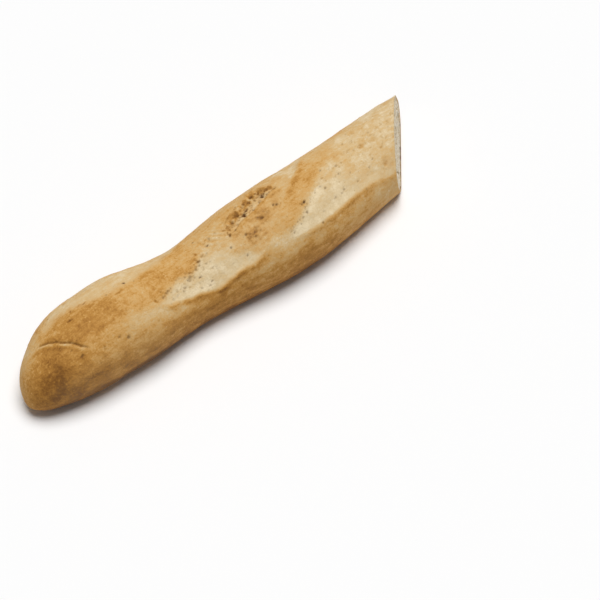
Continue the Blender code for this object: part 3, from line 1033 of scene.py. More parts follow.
@dataclass
class Crust:
    """The baked skin, its scores and marks, and the rim and recess that hold the crumb.

    columns_apart is the distance between the grid's columns over the girth. proudest and deepest
    are what the relief may near but not pass. lump_pitches are pitches and heights of the dough's
    unevenness. crushed is how far the knife pressed the thin far shoulder down, and bulged the share
    of it by which the side below stands out. Places come with their reach, and ripple_wander is how
    far the wrinkles wander, with the pitch of it.
    """

    form: LoafForm
    placing: Placing
    rows: int = 490
    columns_apart: Points = ((-60, 2.4), (-46, 1.1), (-34, 0.5), (30, 0.5), (42, 1.1), (60, 2.4))
    section_at: float = 150.0
    nose_part: float = 60.0
    longest: float = 287.0
    samples: int = 2000
    proudest: float = 1.4
    deepest: float = 3.0
    base_fade: Span = (0.05, 3.0)
    lump_pitches: Points = ((30.0, 0.45), (10.0, 0.26), (3.6, 0.12))
    crushed: float = 2.6
    crushed_span: float = 12.0
    crushed_girth: Span = (32.0, 8.0)
    bulged: float = 0.9
    bulged_girth: Span = (49.0, 7.0)
    blunted: float = 1.5
    blunted_place: tuple[Span, Span] = ((3.0, 11.0), (-12.0, 26.0))
    wrinkled_place: tuple[Span, Span] = ((141.0, 12.0), (3.5, 7.0))
    ripple_pitch: float = 3.3
    ripple_lean: Span = (0.75, 0.65)
    ripple_wander: Span = (2.6, 6.0)
    rim_width: float = 0.8
    rim_drop: float = 0.12
    recess_depth: float = 9.0
    rim_rows: int = 3
    recess_rows: int = 9
    trimmed_rows: int = 14
    name: str = "crust_of_loaf"
    cut_ring: np.ndarray = field(init=False)

    def columns(self) -> np.ndarray:
        """Turns round the section for the grid's columns: fine over the top, coarse under the base.

        Returns:
            The turns, from one side of the base over the crest to the other.
        """
        turn = np.linspace(-math.pi, math.pi, 2 * self.samples + 1)
        girth = walked(self.form.skin(np.full(turn.shape, self.section_at), turn))
        girth -= girth[self.samples]
        spacing = np.interp(girth, *np.array(self.columns_apart).T)
        count = np.concatenate([[0.0], np.cumsum(np.diff(girth) / spacing[1:])])
        total = int(round(count[-1]))
        wanted = count[-1] * (np.arange(total) + 0.5) / total
        return np.interp(wanted, count, turn)

    def stations(self) -> np.ndarray:
        """Share of the loaf's length at each row, even over the skin from the tip of the heel.

        Returns:
            The shares, from 0 to 1.
        """
        nose = np.linspace(0.0, 1.0, self.samples) ** 3 * self.nose_part
        x = np.concatenate([nose, np.linspace(self.nose_part + 0.1, self.longest, self.samples)])
        far = walked(np.stack([x, self.form.nose_at(x) * self.form.half_width], axis=-1))
        wanted = far[-1] * np.arange(self.rows + 1) / self.rows
        return np.interp(wanted, far, x) / x[-1]

    def grid(self) -> tuple[Skin, np.ndarray]:
        """Plain skin of the loaf.

        Returns:
            The grid, and the outward direction at each of its points.
        """
        turn = self.columns()[None, :]
        share = self.stations()[:, None]
        end = self.form.cut_length(turn)
        mean = float(end.mean())
        length = share * (mean + (end - mean) * smooth_step(share, 0.2, 1.0))
        turn = np.broadcast_to(turn, length.shape)
        base = self.form.skin(length, turn)
        girth = np.stack([walked(row[:, 1:]) for row in base])
        crest = np.array([np.interp(0.0, turn[0], row) for row in girth])[:, None]
        along = np.gradient(base, axis=0)
        around = np.roll(base, -1, axis=1) - np.roll(base, 1, axis=1)
        normal = np.cross(along, around)
        normal /= np.linalg.norm(normal, axis=-1, keepdims=True) + 1e-12
        normal[0] = (-1.0, 0.0, 0.0)
        return Skin(length=length, girth=girth - crest, base=base), normal

    def lumps(self, skin: Skin) -> None:
        """Slight unevenness of the dough, from 30 mm across down to 2 mm, and the blunt nose.

        Args:
            skin: The crust's grid, changed in place.
        """
        for i, (pitch, height) in enumerate(self.lump_pitches):
            skin.relief += height * Grain(51 + 2 * i).layered(skin.base, pitch, 2)
        skin.relief += self.blunted * skin.about(*self.blunted_place)

    def crush_tip(self, skin: Skin) -> None:
        """Press the shoulder down where the cut leaves it thin, on the far side.

        Args:
            skin: The crust's grid, changed in place.
        """
        left = self.form.cut_distance - skin.base @ self.form.cut_normal()
        near = 1.0 - smooth_step(left, 0.0, self.crushed_span)
        (down, down_reach), (out, out_reach) = self.crushed_girth, self.bulged_girth
        dent = bell(skin.girth - down, down_reach) - self.bulged * bell(skin.girth - out, out_reach)
        skin.relief -= self.crushed * near * dent

    def pucker(self, skin: Skin) -> None:
        """Short curved wrinkles where the middle score tore, on the heel side of the split.

        Args:
            skin: The crust's grid, changed in place.
        """
        here = skin.about(*self.wrinkled_place)
        (lengthwise, girthwise), (wander, pitch) = self.ripple_lean, self.ripple_wander
        waves = skin.length * lengthwise + skin.girth * girthwise + wander * Grain(61).at(skin.base, pitch)
        ripple = np.abs(np.sin(waves / self.ripple_pitch * math.pi)) ** 0.7
        skin.relief += 0.40 * (ripple - 0.5) * here
        skin.bake += 0.30 * here * (0.6 - ripple)
        skin.scorch += 0.15 * np.clip(0.4 - ripple, 0.0, 1.0) * here

    def shape(self) -> tuple[Skin, np.ndarray]:
        """Skin with all its relief and colouring.

        Returns:
            The grid, and its points in the loaf's own millimetres.
        """
        skin, normal = self.grid()
        rng = np.random.default_rng(5)
        Baking().apply(skin)
        self.lumps(skin)
        self.crush_tip(skin)
        for score in SCORES:
            score.apply(skin)
        self.pucker(skin)
        scattered = [scatter.throw(rng) for scatter in SCATTERS]
        for feature in (SPLIT, HEEL_SLIT, *MARKS, *PITTINGS, *scattered):
            feature.apply(skin)
        most = np.where(skin.relief > 0.0, self.proudest, self.deepest)
        skin.relief = most * np.tanh(skin.relief / most)
        above = 0.05 + 0.95 * smooth_step(skin.base[..., 2], *self.base_fade)
        lift = skin.relief * above * np.minimum(1.0, self.form.nose_at(skin.length) * 1.5)
        points = skin.base + normal * lift[..., None]
        points[..., 2] = np.maximum(points[..., 2], 0.0)
        return skin, self.trim_to_cut(points)

    def trim_to_cut(self, points: np.ndarray) -> np.ndarray:
        """Slide the last rows so that the loaf ends on the cut.

        Args:
            points: The skin's points, changed in place.

        Returns:
            The same points.
        """
        normal = self.form.cut_normal()
        miss = (self.form.cut_distance - points[-1] @ normal) / normal[0]
        for back in range(self.trimmed_rows):
            points[-1 - back, :, 0] += miss * (1.0 - back / self.trimmed_rows)
        return points

    def mouth(self, ring: np.ndarray) -> list[np.ndarray]:
        """Rings from the cut's outer edge over the rim and down the bowl of the recess.

        Args:
            ring: Points of the outer edge.

        Returns:
            The rings, outermost first.
        """
        normal = self.form.cut_normal()
        tangent = np.roll(ring, -3, axis=0) - np.roll(ring, 3, axis=0)
        inward = np.cross(tangent, normal)
        inward /= np.linalg.norm(inward, axis=1, keepdims=True)
        inward *= np.sign(np.sum((ring.mean(0) - ring) * inward, axis=1, keepdims=True))
        rings = []
        for i in range(1, self.rim_rows + 1):
            share = i / self.rim_rows
            rings.append(ring + inward * self.rim_width * share - normal * self.rim_drop * share**2)
        lip = rings[-1]
        for i in range(1, self.recess_rows + 1):
            share = i / (self.recess_rows + 1)
            sunk = self.recess_depth * math.sin(share * QUARTER)
            rings.append(lip + (lip.mean(0) - lip) * share - normal * sunk)
        return rings

    def build(self) -> bpy.types.Object:
        """Model the crust: a sphere with its poles at the heel and in the recess, moved to the skin.

        Returns:
            The finished crust.
        """
        skin, points = self.shape()
        self.cut_ring = points[-1].copy()
        rings = self.mouth(self.cut_ring)
        steps, columns = self.rows + 1 + len(rings), points.shape[1]
        bpy.ops.mesh.primitive_uv_sphere_add(segments=columns, ring_count=steps)
        crust = bpy.context.object
        crust.name = crust.data.name = self.name
        co = points_of(crust)
        row = np.rint(np.arccos(np.clip(co[:, 2], -1.0, 1.0)) / math.pi * steps).astype(int)
        column = np.rint(np.arctan2(co[:, 1], co[:, 0]) / (2.0 * math.pi) * columns).astype(int) % columns
        heart = rings[-1].mean(0) - self.form.cut_normal() * 0.1
        sheet = np.concatenate([points, rings, np.broadcast_to(heart, (1, columns, 3))])
        crust.data.vertices.foreach_set("co", self.placing.place(sheet[row, column]).ravel())
        for layer in (Layer.BAKE, Layer.FLOUR, Layer.SCORCH):
            values = getattr(skin, layer.value)
            full = np.concatenate([values, np.repeat(values[-1:], len(rings) + 1, axis=0)])
            layer.store(crust, np.clip(full, 0.0, 1.5)[row, column])
        within = np.zeros(len(sheet))
        within[self.rows + 1:] = 1.0
        within[self.rows + 1:self.rows + 1 + self.rim_rows] = 0.3
        Layer.WITHIN.store(crust, within[row])
        tidy_mesh(crust)
        return crust


# ----------------------------------------------------------------------------- the crumb


@dataclass(frozen=True)
class Hole:
    """One open bubble: its place on the cut, size, the depth of its middle, and how toasted it is."""

    x: float
    y: float
    size: float
    deep: float
    toast: float


@dataclass
class Crumb:
    """The porous face of the cut: a slab in the crust's recess, with open bubbles sunk into it.

    kinds holds how many bubbles of each kind are thrown, their smallest and largest size, and how
    toasted they are. large holds the ones that stand out, as rows of Hole's fields. pixel is the
    step of the map of depths, and overlap how far the slab's edge stays inside the cut's outline.
    """

    form: LoafForm
    placing: Placing
    ring: np.ndarray
    across: int = 420
    up: int = 208
    overlap: float = 0.45
    sunk: float = 0.15
    thickness: float = 8.0
    back_steps: int = 5
    pixel: float = 0.1
    kinds: Rows = (
        (9000, 0.3, 0.5, 0.0), (2500, 0.5, 0.8, 0.0), (110, 0.8, 1.2, 0.0), (18, 1.2, 1.8, 0.1),
        (3, 1.8, 2.3, 0.2),
    )
    large: Rows = (
        (23.0, -4.5, 2.7, 0.6, 0.8), (25.5, -4.0, 2.1, 0.9, 0.8), (29.0, -9.5, 1.8, 0.7, 0.5),
        (13.0, -11.0, 2.2, 0.3, 0.1), (17.5, -13.0, 1.7, 0.4, 0.1), (2.0, -13.5, 1.9, 0.4, 0.1),
    )
    deeper_from: float = 0.8
    stretches: Span = (1.0, 1.75)
    tilts: float = 0.35
    ragged_pitch: float = 1.5
    ragged: float = 1.1
    rind_width: Span = (0.4, 1.9)
    base_rind_width: Span = (1.3, 1.6)
    base_height: Span = (2.5, 5.5)
    name: str = "crumb_of_cut"

    def axes(self) -> tuple[np.ndarray, np.ndarray, np.ndarray]:
        """Directions in the cut: outward, level along the face, and up the face.

        Returns:
            Three vectors one unit long.
        """
        out = self.form.cut_normal()
        level = np.cross(np.array([0.0, 0.0, 1.0]), out)
        level /= np.linalg.norm(level)
        return out, level, np.cross(out, level)

    def outline(self) -> tuple[np.ndarray, np.ndarray, np.ndarray]:
        """Centre of the cut, and the edge's directions and distances from it.

        Returns:
            The centre, and the directions in rising order with their distances.
        """
        out, level, rise = self.axes()
        centre = self.ring.mean(0)
        flat = np.stack([(self.ring - centre) @ level, (self.ring - centre) @ rise], axis=-1)
        middle = (flat.max(0) + flat.min(0)) / 2
        centre = centre + level * middle[0] + rise * middle[1]
        flat = flat - middle
        heading = np.arctan2(flat[:, 1], flat[:, 0])
        order = np.argsort(heading)
        centre = centre + out * (self.form.cut_distance - centre @ out)
        return centre, heading[order], np.hypot(flat[:, 0], flat[:, 1])[order]

    def throw_holes(self, rng: np.random.Generator, half: np.ndarray, heading: np.ndarray,
                    reach: np.ndarray) -> list[Hole]:
        """Strew the bubbles over the face, inside its outline.

        Args:
            rng: The bubbles' generator.
            half: Half the size of the map, along and up the face.
            heading: Directions of the outline's points.
            reach: Distances of the outline's points.

        Returns:
            The strewn bubbles, and then the large ones.
        """
        holes = []
        for count, small, large, toast in self.kinds:
            size = rng.uniform(small, large, count)
            x = rng.uniform(-half[0], half[0], count)
            y = rng.uniform(-half[1], half[1], count)
            edge = np.interp(np.arctan2(y, x), heading, reach, period=2 * math.pi)
            inside = np.hypot(x, y) < edge - 0.5 - 0.8 * size
            deep = rng.uniform(-0.6, 0.1, count) * size + np.where(size > self.deeper_from, 0.4 * size, 0.0)
            holes += [Hole(x[i], y[i], size[i], deep[i], toast) for i in np.nonzero(inside)[0]]
        return holes + [Hole(*row) for row in self.large]

    def bubbles(self, half: np.ndarray, heading: np.ndarray,
                reach: np.ndarray) -> tuple[np.ndarray, np.ndarray]:
        """Depth of the crumb's surface under the cut, as a map, and how much large holes colour it.

        Args:
            half: Half the size of the map, along and up the face.
            heading: Directions of the outline's points.
            reach: Distances of the outline's points.

        Returns:
            The map of depths and the map of the large holes' toasted walls.
        """
        rng = np.random.default_rng(17)
        shape = tuple(np.ceil(2 * half / self.pixel).astype(int) + 1)
        depth, toast = np.zeros(shape), np.zeros(shape)
        sides = np.meshgrid(*(np.arange(count) * self.pixel for count in shape), indexing="ij")
        wobble = Grain(19).layered(np.stack([*sides, np.zeros(shape)], axis=-1), self.ragged_pitch, 2)
        swell = np.clip(1.0 + self.ragged * wobble, 0.4, None)
        holes = self.throw_holes(rng, half, heading, reach)
        stretches = rng.uniform(*self.stretches, len(holes))
        tilts = rng.normal(0.0, self.tilts, len(holes))
        for i in np.argsort([hole.deep - hole.size * 0.8 for hole in holes]):
            hole = holes[i]
            wide, tall = hole.size * stretches[i], hole.size / math.sqrt(stretches[i])
            c, s = math.cos(tilts[i]), math.sin(tilts[i])
            middle = np.array((hole.x, hole.y)) + half
            low = np.maximum(((middle - wide) / self.pixel).astype(int), 0)
            high = np.minimum(((middle + wide) / self.pixel).astype(int) + 2, shape)
            here = slice(low[0], high[0]), slice(low[1], high[1])
            px = (np.arange(low[0], high[0]) * self.pixel - middle[0])[:, None]
            py = (np.arange(low[1], high[1]) * self.pixel - middle[1])[None, :]
            away = ((px * c + py * s) / wide) ** 2 + ((py * c - px * s) / tall) ** 2
            away *= swell[here]
            dome = np.sqrt(np.clip(1.0 - away, 0.0, None)) * hole.size * 0.9
            view = depth[here]
            open_here = (away < 1.0) & (hole.deep - dome <= view + 0.03) & (hole.deep + dome > view)
            view[open_here] = (hole.deep + dome)[open_here]
            toast[here][open_here] = hole.toast
        return np.minimum(depth, self.thickness - 1.5), toast

    def build(self) -> bpy.types.Object:
        """Model the crumb: a grid bent to the outline, its bubbles sunk, its edge drawn back to a slab.

        Returns:
            The finished crumb.
        """
        centre, heading, reach = self.outline()
        out, level, rise = self.axes()
        reach = reach - self.overlap
        wide, tall = np.abs(reach * np.cos(heading)).max(), np.abs(reach * np.sin(heading)).max()
        bpy.ops.mesh.primitive_grid_add(x_subdivisions=self.across, y_subdivisions=self.up, size=2.0)
        crumb = bpy.context.object
        crumb.name = crumb.data.name = self.name
        co = points_of(crumb)
        u = co[:, 0] * np.sqrt(1.0 - co[:, 1] ** 2 / 2.0)
        v = co[:, 1] * np.sqrt(1.0 - co[:, 0] ** 2 / 2.0)
        turn = np.arctan2(v * tall, u * wide)
        oval = 1.0 / np.sqrt((np.cos(turn) / wide) ** 2 + (np.sin(turn) / tall) ** 2)
        edge = np.interp(turn, heading, reach, period=2 * math.pi)
        stretch = 1.0 + (edge / oval - 1.0) * (u**2 + v**2)
        x, y = u * wide * stretch, v * tall * stretch
        half = np.array([wide, tall]) + 0.5
        maps = self.bubbles(half, heading, reach)
        spots = (x + half[0]) / self.pixel, (y + half[1]) / self.pixel
        depth, toast = (read_map(values, *spots) for values in maps)
        distance = np.hypot(x, y)
        margin = edge - distance
        place = np.stack([x, y, np.zeros(len(x))], axis=-1)
        fray = 0.10 * Grain(101).layered(place, 0.9, 2) + 0.12 * Grain(103).at(place, 5.0)
        sink = self.sunk + np.clip(depth + fray + 0.05, 0.0, None) * smooth_step(margin, 0.3, 1.0)
        share = np.clip(1.0 - distance / edge, 0.0, 1.0)
        sink = np.minimum(sink, self.sunk + self.bowl(share) * 0.9 + 0.05)
        points = centre + level * x[:, None] + rise * y[:, None] - out * sink[:, None]
        crumb.data.vertices.foreach_set("co", self.placing.place(points).ravel())
        low = 1.0 - smooth_step(points[:, 2], *self.base_height)
        ragged = margin + 0.7 * Grain(105).layered(place, 1.6, 2)
        start, end = (width + more * low for width, more in zip(self.rind_width, self.base_rind_width))
        rind = 1.0 - smooth_step(ragged, start, end)
        Layer.DEPTH.store(crumb, depth)
        Layer.TOAST.store(crumb, toast)
        Layer.RIND.store(crumb, rind)
        Layer.LOW.store(crumb, low)
        self.close_back(crumb, centre, out)
        tidy_mesh(crumb)
        return crumb

    def bowl(self, share: np.ndarray | float) -> np.ndarray | float:
        """Thickness of the slab, from its edge, at share 0, to its middle, at 1."""
        return 0.15 + self.thickness * np.sin(share * QUARTER)

    def close_back(self, crumb: bpy.types.Object, centre: np.ndarray, out: np.ndarray) -> None:
        """Draw the grid's edge backward in shrinking rings and close it, as the bowl of a lens.

        Args:
            crumb: The grid. Not used: the steps work on the active object.
            centre: Middle of the cut, in the loaf's own millimetres.
            out: Direction in which the cut looks.
        """
        bpy.ops.object.mode_set(mode="EDIT")
        bpy.ops.mesh.select_mode(type="EDGE")
        bpy.ops.mesh.select_all(action="DESELECT")
        bpy.ops.mesh.select_non_manifold(extend=False)
        deep, size = 0.0, 1.0
        for step in range(self.back_steps + 1):
            share = 0.9 * step / self.back_steps
            wanted = float(self.bowl(share))
            middle = self.placing.place(centre - out * (self.sunk + wanted))
            back = -out * (wanted - deep) * self.placing.scale
            bpy.ops.mesh.extrude_region_move(TRANSFORM_OT_translate={"value": tuple(back)})
            shrink = (1.0 - share) / size
            bpy.ops.transform.resize(value=(shrink,) * 3, center_override=tuple(middle))
            deep, size = wanted, 1.0 - share
        bpy.ops.mesh.edge_face_add()
        bpy.ops.object.mode_set(mode="OBJECT")


def read_map(values: np.ndarray, i: np.ndarray, j: np.ndarray) -> np.ndarray:
    """Read a map between its points.

    Args:
        values: The map.
        i: Place along its first axis, in steps of the map.
        j: Place along its second axis.

    Returns:
        The blended value at each place.
    """
    i0 = np.clip(np.floor(i).astype(int), 0, values.shape[0] - 2)
    j0 = np.clip(np.floor(j).astype(int), 0, values.shape[1] - 2)
    a = np.clip(i - i0, 0.0, 1.0)
    b = np.clip(j - j0, 0.0, 1.0)
    near = values[i0, j0] * (1 - b) + values[i0, j0 + 1] * b
    far = values[i0 + 1, j0] * (1 - b) + values[i0 + 1, j0 + 1] * b
    return near * (1 - a) + far * a


# ----------------------------------------------------------------------------- finishes


def linear(colour: str) -> tuple[float, float, float, float]:
    """Linear colour, with full cover, from an sRGB hex value such as #C08643."""
    parts = [int(colour[i:i + 2], 16) / 255.0 for i in (1, 3, 5)]
    return (*[p / 12.92 if p <= 0.04045 else ((p + 0.055) / 1.055) ** 2.4 for p in parts], 1.0)


def add_node(tree: bpy.types.NodeTree, kind: str, links: dict, out: str | int = 0,
             tones: Tones = (), **settings: object) -> Socket:
    """Add one shader node with its settings and links.

    Args:
        tree: The material's node tree.
        kind: The node's type, without the word ShaderNode.
        links: Value or output socket for each input, by the input's name or number.
        out: The output that is wanted, by name or number.
        tones: A ramp's stops as place and sRGB hex colour. The last place is the ramp's end.
        **settings: Properties of the node.

    Returns:
        The output socket.
    """
    node = tree.nodes.new("ShaderNode" + kind)
    for key, value in settings.items():
        setattr(node, key, value)
    for key, value in links.items():
        if isinstance(value, Socket):
            tree.links.new(value, node.inputs[key])
        else:
            node.inputs[key].default_value = value
    while tones and len(node.color_ramp.elements) < len(tones):
        node.color_ramp.elements.new(0.5)
    for i, (place, colour) in enumerate(tones):
        node.color_ramp.elements[i].position = place / tones[-1][0]
        node.color_ramp.elements[i].color = linear(colour)
    return node.outputs[out]


def start_material(name: str, roughness: float, gloss: float) -> tuple[bpy.types.Material, bpy.types.Node]:
    """Start a material.

    Args:
        name: What it is.
        roughness: Roughness all over.
        gloss: Specular level all over.

    Returns:
        The material and its shader.
    """
    material = bpy.data.materials.new(name)
    material.use_nodes = True
    shader = material.node_tree.nodes["Principled BSDF"]
    shader.inputs["Roughness"].default_value = roughness
    shader.inputs["Specular IOR Level"].default_value = gloss
    return material, shader


@dataclass(frozen=True)
class BakedCrust:
    """Wheat crust, baked in a steam oven: thin, dull and finely grained, pale gold to orange brown.

    Its tone comes with the mesh as bake, which also holds painted shade and a painted highlight, the
    bare floors of the scores and a painted shade tint on the heel's walls as flour, and the burnt pits
    as scorch. Mottling, pale micro-blisters and dark specks lie over them. mottles and streak are
    sizes in millimetres and strengths. The skin's real grain is under 0.2 mm, too fine to show, so
    the finest mottle is drawn at 0.9 mm. blisters, specks and pits are sizes of a dot's cell, radii
    as shares of it, and shares of the cells that stay bare.
    """

    tones: Tones = (
        (0.0, "#EDD8B2"), (0.2, "#DCC296"), (0.38, "#D6B27A"), (0.56, "#D1A25F"), (0.7, "#C08B43"),
        (0.85, "#AB7734"), (1.0, "#8F6028"), (1.25, "#6B451E"),
    )
    flour: str = "#DDCAA3"
    scorch: str = "#5E3C1A"
    crumb: str = "#D9C6A0"
    roughness: float = 0.66
    gloss: float = 0.15
    mottles: Points = ((16.0, 0.20), (4.5, 0.30), (1.8, 0.26), (0.9, 0.30))
    streak: Span = (1.7, 0.38)
    streak_length: float = 3.5
    blisters: tuple[float, float, float] = (2.3, 0.20, 0.45)
    specks: tuple[float, float, float] = (8.0, 0.055, 0.55)
    pits: tuple[float, float, float] = (2.8, 0.13, 0.45)
    bump_mm: float = 0.5

    def make(self) -> bpy.types.Material:
        """Build the material.

        Returns:
            The material, ready for a piece.
        """
        material, shader = start_material("baked_wheat_crust", self.roughness, self.gloss)
        tree = material.node_tree
        place = add_node(tree, "TexCoord", {}, "Object")
        bake, flour, scorch, within = (
            add_node(tree, "Attribute", {}, "Fac", attribute_name=layer.value)
            for layer in (Layer.BAKE, Layer.FLOUR, Layer.SCORCH, Layer.WITHIN)
        )
        along = add_node(tree, "Mapping", {"Vector": place, "Scale": (1.0 / self.streak_length, 1.0, 1.0)})
        tone, grains = bake, []
        for size, strength in (*self.mottles, self.streak):
            where = along if size == self.streak[0] else place
            noise = {"Vector": where, "Scale": 1.0 / (size * MM), "Detail": 2.5, "Roughness": 0.55}
            grains.append(add_node(tree, "TexNoise", noise))
            tone = add_node(tree, "Math", {0: grains[-1], 1: strength, 2: tone}, operation="MULTIPLY_ADD")
            tone = add_node(tree, "Math", {0: tone, 1: 0.5 * strength}, operation="SUBTRACT")
        coarse, fine, finest = grains[1:4]
        blister, speck, pit = (
            self.dots(tree, place, *dots) for dots in (self.blisters, self.specks, self.pits)
        )
        tone = add_node(tree, "Math", {0: blister, 1: -0.16, 2: tone}, operation="MULTIPLY_ADD")
        tone = add_node(tree, "Math", {0: tone, 1: self.tones[-1][0]}, operation="DIVIDE")
        colour = add_node(tree, "ValToRGB", {"Fac": tone}, tones=self.tones)
        cloud = add_node(tree, "Math", {0: coarse, 1: fine}, operation="ADD")
        cloud = add_node(tree, "Math", {0: cloud, 1: 0.45}, operation="SUBTRACT")
        dust = add_node(tree, "Math", {0: flour, 1: cloud}, operation="MULTIPLY", use_clamp=True)
        pit = add_node(tree, "Math", {0: pit, 1: flour}, operation="MULTIPLY", use_clamp=True)
        burnt = scorch
        for term, share in ((speck, 0.44), (pit, 0.3)):
            burnt = add_node(tree, "Math", {0: term, 1: share, 2: burnt}, operation="MULTIPLY_ADD")
        ragged = add_node(tree, "Math", {0: fine, 1: 0.45}, operation="ADD")
        burnt = add_node(tree, "Math", {0: burnt, 1: ragged}, operation="MULTIPLY", use_clamp=True)
        for weight, coat in ((dust, self.flour), (burnt, self.scorch), (within, self.crumb)):
            blend = {"Factor": weight, 6: colour, 7: linear(coat)}
            colour = add_node(tree, "Mix", blend, 2, data_type="RGBA")
        tree.links.new(colour, shader.inputs["Base Color"])
        height = fine
        for term, share in ((finest, 0.6), (blister, 0.35), (burnt, -0.6)):
            height = add_node(tree, "Math", {0: term, 1: share, 2: height}, operation="MULTIPLY_ADD")
        raised = {"Height": height, "Strength": 0.55, "Distance": self.bump_mm * MM}
        tree.links.new(add_node(tree, "Bump", raised, "Normal"), shader.inputs["Normal"])
        return material

    def dots(self, tree: bpy.types.NodeTree, place: Socket, pitch: float, radius: float,
             bare: float) -> Socket:
        """Round soft dots, at most one to a cell.

        Args:
            tree: The material's node tree.
            place: Coordinates.
            pitch: Size of a cell in millimetres.
            radius: Radius of a dot as a share of the cell.
            bare: Share of the cells that stay bare.

        Returns:
            1 in the middle of a dot and 0 between the dots.
        """
        away = add_node(tree, "TexVoronoi", {"Vector": place, "Scale": 1.0 / (pitch * MM)}, "Distance")
        near = add_node(tree, "MapRange", {"Value": away, "From Min": radius * 1.6, "From Max": radius * 0.5},
                        interpolation_type="SMOOTHSTEP")
        pick = add_node(tree, "SeparateColor", {"Color": away.node.outputs["Color"]}, "Red")
        chosen = add_node(tree, "MapRange", {"Value": pick, "From Min": bare, "From Max": 1.0})
        return add_node(tree, "Math", {0: near, 1: chosen}, operation="MULTIPLY", use_clamp=True)


@dataclass(frozen=True)
class BreadCrumb:
    """Soft wheat crumb, sliced: cream webs round open bubbles, painted fawn to brown with depth as shade.

    depths are the colours of painted shade at depths under the cut in millimetres. The crumb's real
    fibres are under 0.1 mm, too fine to show, so its grain is drawn at 0.9 mm.
    """

    # Painted shade: colours that darken the bubbles the deeper they lie, as their shade would.
    depths: Tones = (
        (0.0, "#F3EAD9"), (0.3, "#D8C6A4"), (0.8, "#A68A5E"), (1.7, "#75582F"), (3.0, "#4D3719"),
    )
    toasted: str = "#8E6230"
    rind: str = "#AC8750"
    base_rind: str = "#6B4320"
    roughness: float = 0.8
    gloss: float = 0.2
    grain_mm: float = 0.9
    bump_mm: float = 0.3

    def make(self) -> bpy.types.Material:
        """Build the material.

        Returns:
            The material, ready for a piece.
        """
        material, shader = start_material("sliced_wheat_crumb", self.roughness, self.gloss)
        tree = material.node_tree
        place = add_node(tree, "TexCoord", {}, "Object")
        depth, toast, rind, low = (
            add_node(tree, "Attribute", {}, "Fac", attribute_name=layer.value)
            for layer in (Layer.DEPTH, Layer.TOAST, Layer.RIND, Layer.LOW)
        )
        noise = {"Vector": place, "Scale": 1.0 / (self.grain_mm * MM), "Detail": 2.5, "Roughness": 0.55}
        grain = add_node(tree, "TexNoise", noise)
        depth = add_node(tree, "Math", {0: grain, 1: 0.8, 2: depth}, operation="MULTIPLY_ADD")
        depth = add_node(tree, "Math", {0: depth, 1: 0.4}, operation="SUBTRACT")
        depth = add_node(tree, "Math", {0: depth, 1: self.depths[-1][0]}, operation="DIVIDE")
        # Painted shade: the colour runs from the cream web to dark brown the deeper the crumb lies.
        colour = add_node(tree, "ValToRGB", {"Fac": depth}, tones=self.depths)
        rinds = {"Factor": low, 6: linear(self.rind), 7: linear(self.base_rind)}
        edge = add_node(tree, "Mix", rinds, 2, data_type="RGBA")
        for weight, coat in ((toast, linear(self.toasted)), (rind, edge)):
            blend = {"Factor": weight, 6: colour, 7: coat}
            colour = add_node(tree, "Mix", blend, 2, data_type="RGBA")
        tree.links.new(colour, shader.inputs["Base Color"])
        raised = {"Height": grain, "Strength": 0.3, "Distance": self.bump_mm * MM}
        tree.links.new(add_node(tree, "Bump", raised, "Normal"), shader.inputs["Normal"])
        return material


# ----------------------------------------------------------------------------- camera and light


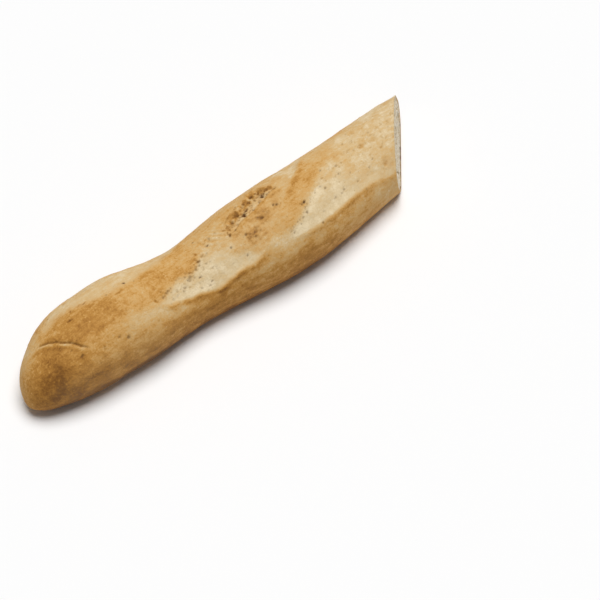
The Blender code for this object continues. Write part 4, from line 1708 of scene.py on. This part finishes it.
@dataclass(frozen=True)
class Studio:
    """White floor, soft light from above and behind, and the camera.

    Angles are degrees but for light_spread, and distances metres. lens is in millimetres.
    """

    azimuth: float = -42.0
    elevation: float = 52.0
    roll: float = -1.02
    distance: float = 0.935
    target: tuple[float, float, float] = (-0.0006, -0.0528, 0.017)
    lens: float = 96.9
    light_from: tuple[float, float, float] = (0.2, 0.05, 0.975)
    light_spread: float = math.radians(42.0)
    light_strength: float = 2.83
    sky: float = 0.15
    floor_size: float = 40.0

    def camera(self) -> None:
        """Set the camera up at the photograph's angle."""
        a, e = math.radians(self.azimuth), math.radians(self.elevation)
        back = Vector((math.sin(a) * math.cos(e), -math.cos(a) * math.cos(e), math.sin(e)))
        data = bpy.data.cameras.new("camera")
        data.lens = self.lens
        data.clip_start = 0.01
        camera = bpy.data.objects.new("camera", data)
        bpy.context.scene.collection.objects.link(camera)
        place = Matrix.Translation(Vector(self.target) + back * self.distance)
        turn = back.to_track_quat("Z", "Y").to_matrix().to_4x4()
        camera.matrix_world = place @ turn @ Matrix.Rotation(math.radians(self.roll), 4, "Z")
        bpy.context.scene.camera = camera

    def lights(self) -> None:
        """Light the floor evenly from one wide soft source overhead, and fill the room with white."""
        lamp = bpy.data.lights.new("soft_ceiling", "SUN")
        lamp.angle = self.light_spread
        lamp.energy = self.light_strength
        holder = bpy.data.objects.new("soft_ceiling", lamp)
        bpy.context.scene.collection.objects.link(holder)
        holder.rotation_euler = Vector(self.light_from).to_track_quat("Z", "Y").to_euler()
        world = bpy.data.worlds.new("studio")
        world.use_nodes = True
        background = world.node_tree.nodes["Background"]
        background.inputs["Color"].default_value = (1.0, 1.0, 1.0, 1.0)
        background.inputs["Strength"].default_value = self.sky
        bpy.context.scene.world = world
        bpy.context.scene.view_settings.view_transform = "Standard"

    def floor(self) -> None:
        """Lay a wide floor of dull white paper under the loaf."""
        bpy.ops.mesh.primitive_plane_add(size=self.floor_size, location=(0.0, 0.0, 0.0))
        floor = bpy.context.object
        floor.name = "floor"
        material, shader = start_material("white_paper_floor", 0.9, 0.5)
        shader.inputs["Base Color"].default_value = linear("#FAFAFA")
        floor.data.materials.append(material)
        floor.select_set(False)


def as_piece(piece: bpy.types.Object, material: bpy.types.Material) -> None:
    """Dress a piece, let it ride on the loaf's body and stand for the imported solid.

    Args:
        piece: The finished piece.
        material: Its only material.
    """
    piece.data.materials.clear()
    piece.data.materials.append(material)
    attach(piece, BODY)
    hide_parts(NODE)
    LOG.info("%s: %d faces", piece.name, len(piece.data.polygons))


def main() -> None:
    """Build the loaf's pieces in order, then the studio."""
    logging.basicConfig(level=logging.INFO, format="%(name)s: %(message)s")
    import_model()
    for item in bpy.context.selected_objects:
        item.select_set(False)
    form = LoafForm()
    placing = Placing(form)
    crust = Crust(form, placing)
    as_piece(crust.build(), BakedCrust().make())
    crumb = Crumb(form, placing, crust.cut_ring)
    as_piece(crumb.build(), BreadCrumb().make())
    studio = Studio()
    studio.camera()
    studio.lights()
    studio.floor()


if __name__ == "__main__":
    main()
